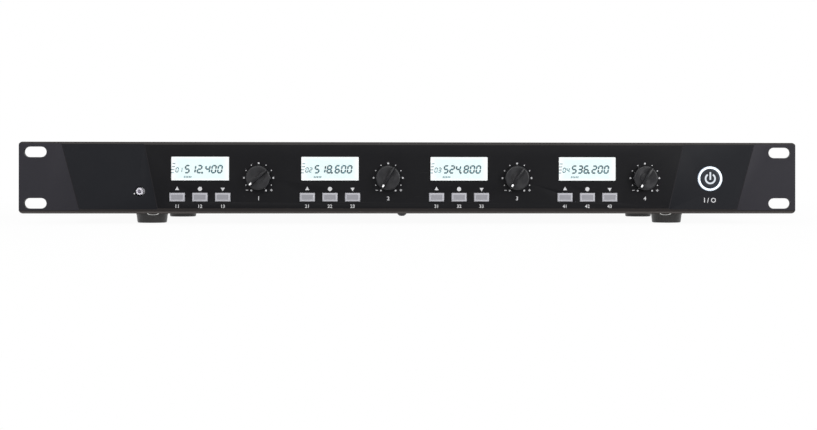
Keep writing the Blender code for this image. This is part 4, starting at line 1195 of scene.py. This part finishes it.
class RECEIVER_OT_print(bpy.types.Operator):
    """White screen-printed signs and plain numbers on the front panel"""

    bl_idname = "receiver.print"
    bl_label = "Printed marks"

    def execute(self, context):
        look = context.scene.receiver_print
        ink = finish_material(
            "print_ink", look.colour, roughness=0.5, specular=0.2, grain=0.0003, tone=0.35, bump=0.1
        )
        shape = bmesh.new()
        for channel in CHANNELS:
            self.add_key_signs(look, shape, channel)
            self.add_knob_scale(look, shape, channel)
        power_x = centre_of("power_ring").x
        side_field = on_front(power_x, look.number_height, -look.side_field_depth)
        add_words(shape, "I / O", side_field, look.number_size, PRINT)
        # A small pale dot to the lower left of the emitter, in the same ink.
        emitter = centre_of("sync_led")
        spot = on_front(
            emitter.x + look.emitter_dot[0], emitter.z - MID_Z + look.emitter_dot[1],
            -look.side_field_depth,
        )
        add_disc(shape, spot, look.emitter_dot_size / 2, PRINT, sides=12)
        finish_piece(shape, "panel_print", "chassis", [ink])
        self.add_rear_numbers(look, ink)
        return {"FINISHED"}

    def add_rear_numbers(self, look, ink):
        """The channel's number beside each output socket."""
        shape = bmesh.new()
        for channel in CHANNELS:
            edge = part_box(f"xlr_output_{channel}")[1].x
            place = Matrix.Translation((edge + look.rear_number_gap, REAR_Y, MID_Z))
            turned = place @ FACING_REAR @ Matrix.Rotation(math.pi, 4, "Z")
            add_words(shape, str(channel), turned, look.rear_number_size, PRINT)
        finish_piece(shape, "rear_print", "chassis", [ink])

    def add_key_signs(self, look, shape, channel):
        """A triangle, a dot and a triangle above the keys, and a number under each."""
        for count, word in enumerate(KEY_NAMES):
            x = centre_of(f"key_{word}_{channel}").x
            place = on_front(x, look.sign_height)
            if word == "set":
                add_disc(shape, place, look.sign_size / 2, PRINT)
            else:
                turn = Matrix.Rotation(0 if word == "up" else math.pi, 4, "Z")
                add_disc(shape, place @ turn, look.sign_size * TRIANGLE_SHARE, PRINT, sides=3)
            number = on_front(x, look.key_number_height)
            add_words(shape, f"{channel}{count + 1}", number, look.key_number_size, PRINT)

    def add_knob_scale(self, look, shape, channel):
        """Dots round the knob, the signs at the scale's ends and the channel's number."""
        centre = knob_centre(channel)
        for step in DOTS:
            angle = SCALE_STEP * step
            x = centre.x + look.scale_radius * math.sin(angle)
            height = look.scale_radius * math.cos(angle)
            size = look.dot_size * (1.0 if step in LARGE_DOTS else SMALL_DOT)
            add_disc(shape, on_front(x, height), size / 2, PRINT, sides=16)
        half = look.plus_size / 2
        thin = half * PLUS_STROKE
        level, upright = (half, thin), (thin, half)
        for side, bars in ((-look.minus_reach, [level]), (look.plus_reach, [level, upright])):
            sign = bmesh.new()
            for x, y in bars:
                add_block(sign, (-x, -y, 0), (x, y, PRINT))
            place = on_front(centre.x + side, look.plus_height)
            bmesh.ops.transform(sign, matrix=place, verts=sign.verts)
            merge_into(shape, sign)
        number = on_front(centre.x, look.channel_number_height)
        add_words(shape, str(channel), number, look.channel_number_size, PRINT)


# --- case -----------------------------------------------------------------------------------
SCREW_WALL = 0.25  # upright part of a screw head's height
CROSS = (0.55, 0.132)  # half the cross's length and width, as shares of the head's radius
CROSS_FLOOR = 0.72  # where the cross starts, as a share of the head's height
SOLE_HOLLOW = ((0.0, 0.0012), (0.0044, 0.0012), (0.0050, 0.0))  # profile under a foot
SOLE_EDGE = ((0.0008, 0.0), (0.0002, 0.0002), (0.0, 0.0008))  # in from its wall, and up
SHOULDER_SLOPE = 0.2


def screw_head(matrix, radius, height, steps):
    """A domed screw head whose cross is a dark block, painted shade for the recess, standing on own
    Z = 0.
    """
    dome = rounded_rim(radius, height, radius, height * (1 - SCREW_WALL), steps=5)
    shape = turned_shape([(0.0, 0.0), (radius, 0.0), *dome], Matrix.Identity(4), steps)
    cross = bmesh.new()
    length, width = (share * radius for share in CROSS)
    for x, y in ((length, width), (width, length)):
        add_block(cross, (-x, -y, height * CROSS_FLOOR), (x, y, height))
    merge_into(shape, cross, 1)
    bmesh.ops.transform(shape, matrix=matrix, verts=shape.verts)
    return shape


class RECEIVER_OT_case(bpy.types.Operator):
    """Steel tray and lid with their screws, and the rubber feet"""

    bl_idname = "receiver.case"
    bl_label = "Case and feet"

    def execute(self, context):
        look = context.scene.receiver_case
        coat = finish_material(
            "case_coat", look.case_colour, roughness=0.5, grain=0.0007, tone=0.14,
            bump=0.6, bump_depth=0.00006, dust=0.05, scuffs=0.06,
        )
        for node in ("chassis_base", "top_cover"):
            softened_copy(node, [coat], look.fold_radius)
        steel = finish_material(
            "screw_black", srgb(64, 64, 66), roughness=0.38, metallic=0.8, grain=0.0005, scuffs=0.2
        )
        # The cross's near-black is painted shade in the recess.
        dark = finish_material("screw_recess_shade", srgb(12, 12, 13), roughness=0.6)
        self.add_screws(look, [steel, dark])
        self.add_bottom_screw(look, [steel, dark])
        self.add_feet(look)
        return {"FINISHED"}

    def add_screws(self, look, materials):
        """The lid's side screws."""
        shape = bmesh.new()
        for side in (-1, 1):
            turn = Matrix.Rotation(side * math.radians(90), 4, "Y")
            for share in look.lid_screws:
                x = COVER_HIGH.x if side > 0 else COVER_LOW.x
                y = COVER_LOW.y + share * (COVER_HIGH.y - COVER_LOW.y)
                z = COVER_LOW.z + look.lid_screw_height
                place = Matrix.Translation((x, y, z)) @ turn
                head = screw_head(place, look.screw_radius, look.screw_rise, look.screw_steps)
                merge_into(shape, head)
        finish_piece(shape, "lid_screws", "chassis", materials)

    def add_bottom_screw(self, look, materials):
        low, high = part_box("bottom_screw")
        centre = Vector(((low.x + high.x) / 2, (low.y + high.y) / 2, TRAY_LOW.z - SEAM))
        matrix = Matrix.Translation(centre) @ Matrix.Rotation(math.pi, 4, "X")
        radius = (high.x - low.x) / 2
        shape = screw_head(matrix, radius, centre.z - low.z, look.screw_steps)
        finish_piece(
            shape, "bottom_screw_look", "chassis", materials, "bottom_screw"
        )

    def add_feet(self, look):
        rubber = finish_material(
            "foot_rubber", srgb(50, 48, 47), roughness=0.38, specular=0.45, grain=0.0008, tone=0.2,
            bump=0.4, dust=0.10,
        )
        # The bright arc on the front feet is a painted highlight.
        painted_reflection = finish_material("foot_tab", srgb(248, 248, 246), roughness=0.2, metallic=1.0)
        for place in ("front_left", "front_right", "rear_left", "rear_right"):
            node = "foot_" + place
            low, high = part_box(node)
            radius = (high.x - low.x) / 2
            rise = high.z - low.z
            base = Matrix.Translation(((low.x + high.x) / 2, (low.y + high.y) / 2, low.z))
            sole = radius - look.foot_taper
            shoulder = look.foot_shoulder
            profile = [
                *SOLE_HOLLOW,
                *((sole - inset, up) for inset, up in SOLE_EDGE),
                (radius - shoulder * SHOULDER_SLOPE, rise - shoulder),
                *rounded_rim(radius, rise, look.foot_edge),
                (0.0, rise),
            ]
            shape = turned_shape(profile, base, look.round_steps)
            if place.startswith("front"):
                front = Vector((0, -radius, rise - look.foot_edge / 2))
                inward = -math.copysign(math.radians(look.foot_tab_turn), low.x)
                turn = base @ Matrix.Rotation(inward, 4, "Z") @ Matrix.Translation(front)
                merge_into(shape, self.tab_shape(look, turn), 1)
            materials = [rubber, painted_reflection]
            finish_piece(shape, node + "_look", "chassis", materials, node)

    def tab_shape(self, look, place):
        """The lower half of a flat oval ring, let into the top of a foot's front wall: a bright
        piece that paints the foot's glint.
        """
        outer, inner, thickness = look.foot_tab
        shape = bmesh.new()
        add_arc(shape, FACING_FRONT, outer, inner, thickness, math.pi / 2, math.pi)
        squeeze = Matrix.Diagonal((1.0, 1.0, look.foot_tab_flatness, 1.0))
        back = Matrix.Translation((0, thickness, 0))
        bmesh.ops.transform(shape, matrix=place @ back @ squeeze, verts=shape.verts)
        return shape


# --- rear -----------------------------------------------------------------------------------
def within(node, radius):
    """A zone rule: 1 for a face that lies whole within a radius of the node's long axis."""
    axis = centre_of(node)

    def zone(face):
        reach = max((corner.co - axis).xz.length for corner in face.verts)
        return 1 if reach < radius else 0

    return zone


class RECEIVER_OT_rear(bpy.types.Operator):
    """Output sockets, power inlet and aerial sockets"""

    bl_idname = "receiver.rear"
    bl_label = "Rear sockets"

    def execute(self, context):
        look = context.scene.receiver_case
        black = finish_material(
            "socket_black", srgb(26, 26, 27), roughness=0.5, specular=0.35, grain=0.0006,
            bump=0.3, dust=0.08,
        )
        nickel = finish_material(
            "socket_nickel", srgb(196, 192, 184), roughness=0.24, metallic=1.0, grain=0.0008,
            tone=0.10, scuffs=0.08,
        )
        gold = finish_material(
            "contact_gold", srgb(212, 172, 96), roughness=0.3, metallic=1.0, grain=0.0005, tone=0.08
        )
        edge = look.socket_edge
        for channel in CHANNELS:
            node = f"xlr_output_{channel}"
            pins = within(node, look.pin_circle)
            softened_copy(node, [black, nickel], edge, pins)
        for node in ("jack_output", "dc_inlet"):
            softened_copy(node, [black], edge)
        for node in ("antenna_socket_1", "antenna_socket_2"):
            core = within(node, look.core_radius)
            softened_copy(node, [nickel, gold], edge, core)
        steel = finish_material(
            "rear_screw", srgb(70, 70, 72), roughness=0.36, metallic=0.9, scuffs=0.2
        )
        # The cross's near-black is painted shade in the recess.
        dark = finish_material("rear_recess_shade", srgb(12, 12, 13), roughness=0.6)
        self.add_flange_screws(look, [steel, dark])
        self.add_jack_nut(look, nickel)
        return {"FINISHED"}

    def add_jack_nut(self, look, nickel):
        """The threaded bush of the jack with its hexagon nut, round the open bore."""
        middle = centre_of("jack_output")
        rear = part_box("jack_output")[1].y
        matrix = Matrix.Translation((middle.x, rear, middle.z)) @ FACING_REAR
        bore = look.bush_bore
        bush = [
            (bore, 0.0), (look.bush_radius, 0.0),
            *rounded_rim(look.bush_radius, look.bush_rise, SEAM),
            (bore + SEAM, look.bush_rise), (bore, look.bush_rise - SEAM), (bore, 0.0),
        ]
        shape = turned_shape(bush, matrix, look.round_steps)
        start = look.bush_radius - SEAM
        nut = [
            (start, 0.0), (look.nut_radius, 0.0), (look.nut_radius, look.nut_rise),
            (start, look.nut_rise), (start, 0.0),
        ]
        merge_into(shape, turned_shape(nut, matrix, steps=6))
        soften(finish_piece(shape, "jack_nut", "chassis", [nickel]), SEAM / 3)

    def add_flange_screws(self, look, materials):
        """Two screws in opposite corners of the flange of each output and of the jack."""
        shape = bmesh.new()
        for node in [f"xlr_output_{i}" for i in CHANNELS] + ["jack_output"]:
            low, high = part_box(node)
            middle = (low + high) / 2
            for side in (-1, 1):
                x = middle.x + side * look.flange_screw[0]
                z = middle.z + side * look.flange_screw[1]
                matrix = Matrix.Translation((x, high.y, z)) @ FACING_REAR
                head = screw_head(matrix, *look.flange_screw_size, look.screw_steps)
                merge_into(shape, head)
        finish_piece(shape, "flange_screws", "chassis", materials)


# --- inside ---------------------------------------------------------------------------------
class RECEIVER_OT_inside(bpy.types.Operator):
    """Boards, tuners, potentiometers and the power switch"""

    bl_idname = "receiver.inside"
    bl_label = "Inside"

    def execute(self, context):
        board = finish_material(
            "board_green", srgb(18, 74, 44), roughness=0.35, specular=0.5, grain=0.0012,
            tone=0.25, bump=0.2,
        )
        tin = finish_material(
            "tuner_tin", srgb(176, 178, 180), roughness=0.34, metallic=1.0, grain=0.002, tone=0.12,
            scuffs=0.15,
        )
        pot = finish_material(
            "pot_metal", srgb(150, 150, 148), roughness=0.4, metallic=0.9, grain=0.001, tone=0.12
        )
        steel = finish_material("shaft_steel", srgb(170, 170, 172), roughness=0.28, metallic=1.0)
        plastic = finish_material("switch_black", srgb(24, 24, 26), roughness=0.5, dust=0.05)
        groups = [(["front_board", "main_board"], board), (["power_switch"], plastic)]
        for channel in CHANNELS:
            groups.append(([f"receiver_module_{channel}"], tin))
            groups.append(([f"volume_pot_{channel}"], pot))
            groups.append(([f"volume_shaft_{channel}"], steel))
        for nodes, material in groups:
            for node in nodes:
                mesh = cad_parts[node].data
                mesh.materials.clear()
                mesh.materials.append(material)
        return {"FINISHED"}


# --- stage ----------------------------------------------------------------------------------
def seen_share(tree):
    """1 for a ray of the camera, or one that a mirror or clear plastic sends on, else 0."""
    ray = add_node(tree, "LightPath").outputs
    either = maths(tree, "MAXIMUM", ray["Is Camera Ray"], ray["Is Transmission Ray"])
    return maths(tree, "MAXIMUM", either, ray["Is Glossy Ray"])


def floor_material(colour, whiteness, near, far):
    """A matt floor that the camera, a mirror or a window sees mostly as plain white.

    Its share of plain white is least round the object, where the shadow lies, and whole beyond.
    """
    material, tree, shader = new_material(
        "floor_white", {"Base Color": (*colour, 1.0), "Roughness": 1.0, "Specular IOR Level": 0.0}
    )
    away = add_node(tree, "VectorMath", [own_place(tree)], operation="LENGTH").outputs["Value"]
    share = maths(tree, "MULTIPLY", seen_share(tree), spread(tree, away, near, far, whiteness))
    white = add_node(tree, "Emission", {"Strength": 1.0})
    mixed = add_node(tree, "MixShader", [share, shader.outputs[0], white.outputs[0]])
    feed(tree, tree.nodes["Material Output"], {"Surface": mixed.outputs[0]})
    return material


class RECEIVER_OT_stage(bpy.types.Operator):
    """Camera at the photo's place, pale floor, white surround and soft lamps"""

    bl_idname = "receiver.stage"
    bl_label = "Stage"

    def execute(self, context):
        look = context.scene.receiver_stage
        self.add_camera(context, look)
        self.add_floor(look)
        self.add_surround(context, look)
        self.add_lamp("key_lamp", look.key_place, look.key_aim, look.key_size, look.key_power)
        self.add_lamp("fill_lamp", look.fill_place, look.fill_aim, look.fill_size, look.fill_power)
        self.add_lamp("top_lamp", look.top_place, look.top_aim, look.top_size, look.top_power)
        context.scene.view_settings.view_transform = "Standard"
        return {"FINISHED"}

    def add_camera(self, context, look):
        camera = bpy.data.cameras.new("photo_camera")
        camera.sensor_width = 36  # millimetres
        camera.lens = look.lens
        camera.shift_x, camera.shift_y = look.shift
        camera.clip_start = 0.01  # metres
        holder = link_object("photo_camera", camera)
        turn = Matrix.Rotation(look.camera_turn, 4, "Z")
        level = Matrix.Rotation(math.radians(90), 4, "X")
        roll = Matrix.Rotation(look.camera_roll, 4, "Z")
        holder.matrix_world = Matrix.Translation(look.camera_place) @ turn @ level @ roll
        context.scene.camera = holder

    def add_floor(self, look):
        shape = bmesh.new()
        bmesh.ops.create_grid(shape, x_segments=1, y_segments=1, size=look.floor_size / 2)
        mesh = bpy.data.meshes.new("floor")
        shape.to_mesh(mesh)
        shape.free()
        mesh.materials.append(
            floor_material(look.floor_colour, look.floor_white, look.shadow_near, look.shadow_far)
        )
        link_object("floor", mesh)

    def add_surround(self, context, look):
        """White where the camera, a mirror or a window sees it, and a softer light elsewhere."""
        world = bpy.data.worlds.new("surround")
        world.use_nodes = True
        tree = world.node_tree
        tree.nodes.clear()
        white = (1.0, 1.0, 1.0, 1.0)
        seen = add_node(tree, "Background", {"Color": white, "Strength": 1.0})
        lit = add_node(tree, "Background", {"Color": white, "Strength": look.surround})
        mixed = add_node(tree, "MixShader", [seen_share(tree), lit.outputs[0], seen.outputs[0]])
        add_node(tree, "OutputWorld", {"Surface": mixed.outputs[0]})
        context.scene.world = world

    def add_lamp(self, name, place, aim, size, power):
        lamp = bpy.data.lights.new(name, "AREA")
        lamp.shape = "RECTANGLE"
        lamp.size, lamp.size_y = size
        lamp.energy = power
        holder = link_object(name, lamp)
        toward = Vector(aim) - Vector(place)
        turn = toward.to_track_quat("-Z", "Y").to_matrix().to_4x4()
        holder.matrix_world = Matrix.Translation(place) @ turn


# --- panel in the sidebar -------------------------------------------------------------------
class RECEIVER_PT_sidebar(bpy.types.Panel):
    """Lists the operators that dress the receiver"""

    bl_label = "Receiver"
    bl_idname = "RECEIVER_PT_sidebar"
    bl_space_type = "VIEW_3D"
    bl_region_type = "UI"
    bl_category = "Receiver"

    def draw(self, context):
        for operator in OPERATORS:
            self.layout.operator(operator.bl_idname)


LOOKS = {
    "receiver_panel": PanelLook, "receiver_displays": DisplayLook,
    "receiver_controls": ControlLook, "receiver_print": PrintLook,
    "receiver_case": CaseLook, "receiver_stage": StageLook,
}
OPERATORS = (
    RECEIVER_OT_panel, RECEIVER_OT_displays, RECEIVER_OT_keys, RECEIVER_OT_knobs,
    RECEIVER_OT_power, RECEIVER_OT_emitter, RECEIVER_OT_print, RECEIVER_OT_case,
    RECEIVER_OT_rear, RECEIVER_OT_inside, RECEIVER_OT_stage,
)


def register():
    for group in LOOKS.values():
        bpy.utils.register_class(group)
    for operator in OPERATORS:
        bpy.utils.register_class(operator)
    bpy.utils.register_class(RECEIVER_PT_sidebar)
    for name, group in LOOKS.items():
        setattr(bpy.types.Scene, name, bpy.props.PointerProperty(type=group))


def unregister():
    for name in LOOKS:
        delattr(bpy.types.Scene, name)
    bpy.utils.unregister_class(RECEIVER_PT_sidebar)
    for operator in reversed(OPERATORS):
        bpy.utils.unregister_class(operator)
    for group in reversed(LOOKS.values()):
        bpy.utils.unregister_class(group)


def main():
    register()
    for operator in OPERATORS:
        group, name = operator.bl_idname.split(".")
        getattr(getattr(bpy.ops, group), name)()


if __name__ == "__main__":
    main()
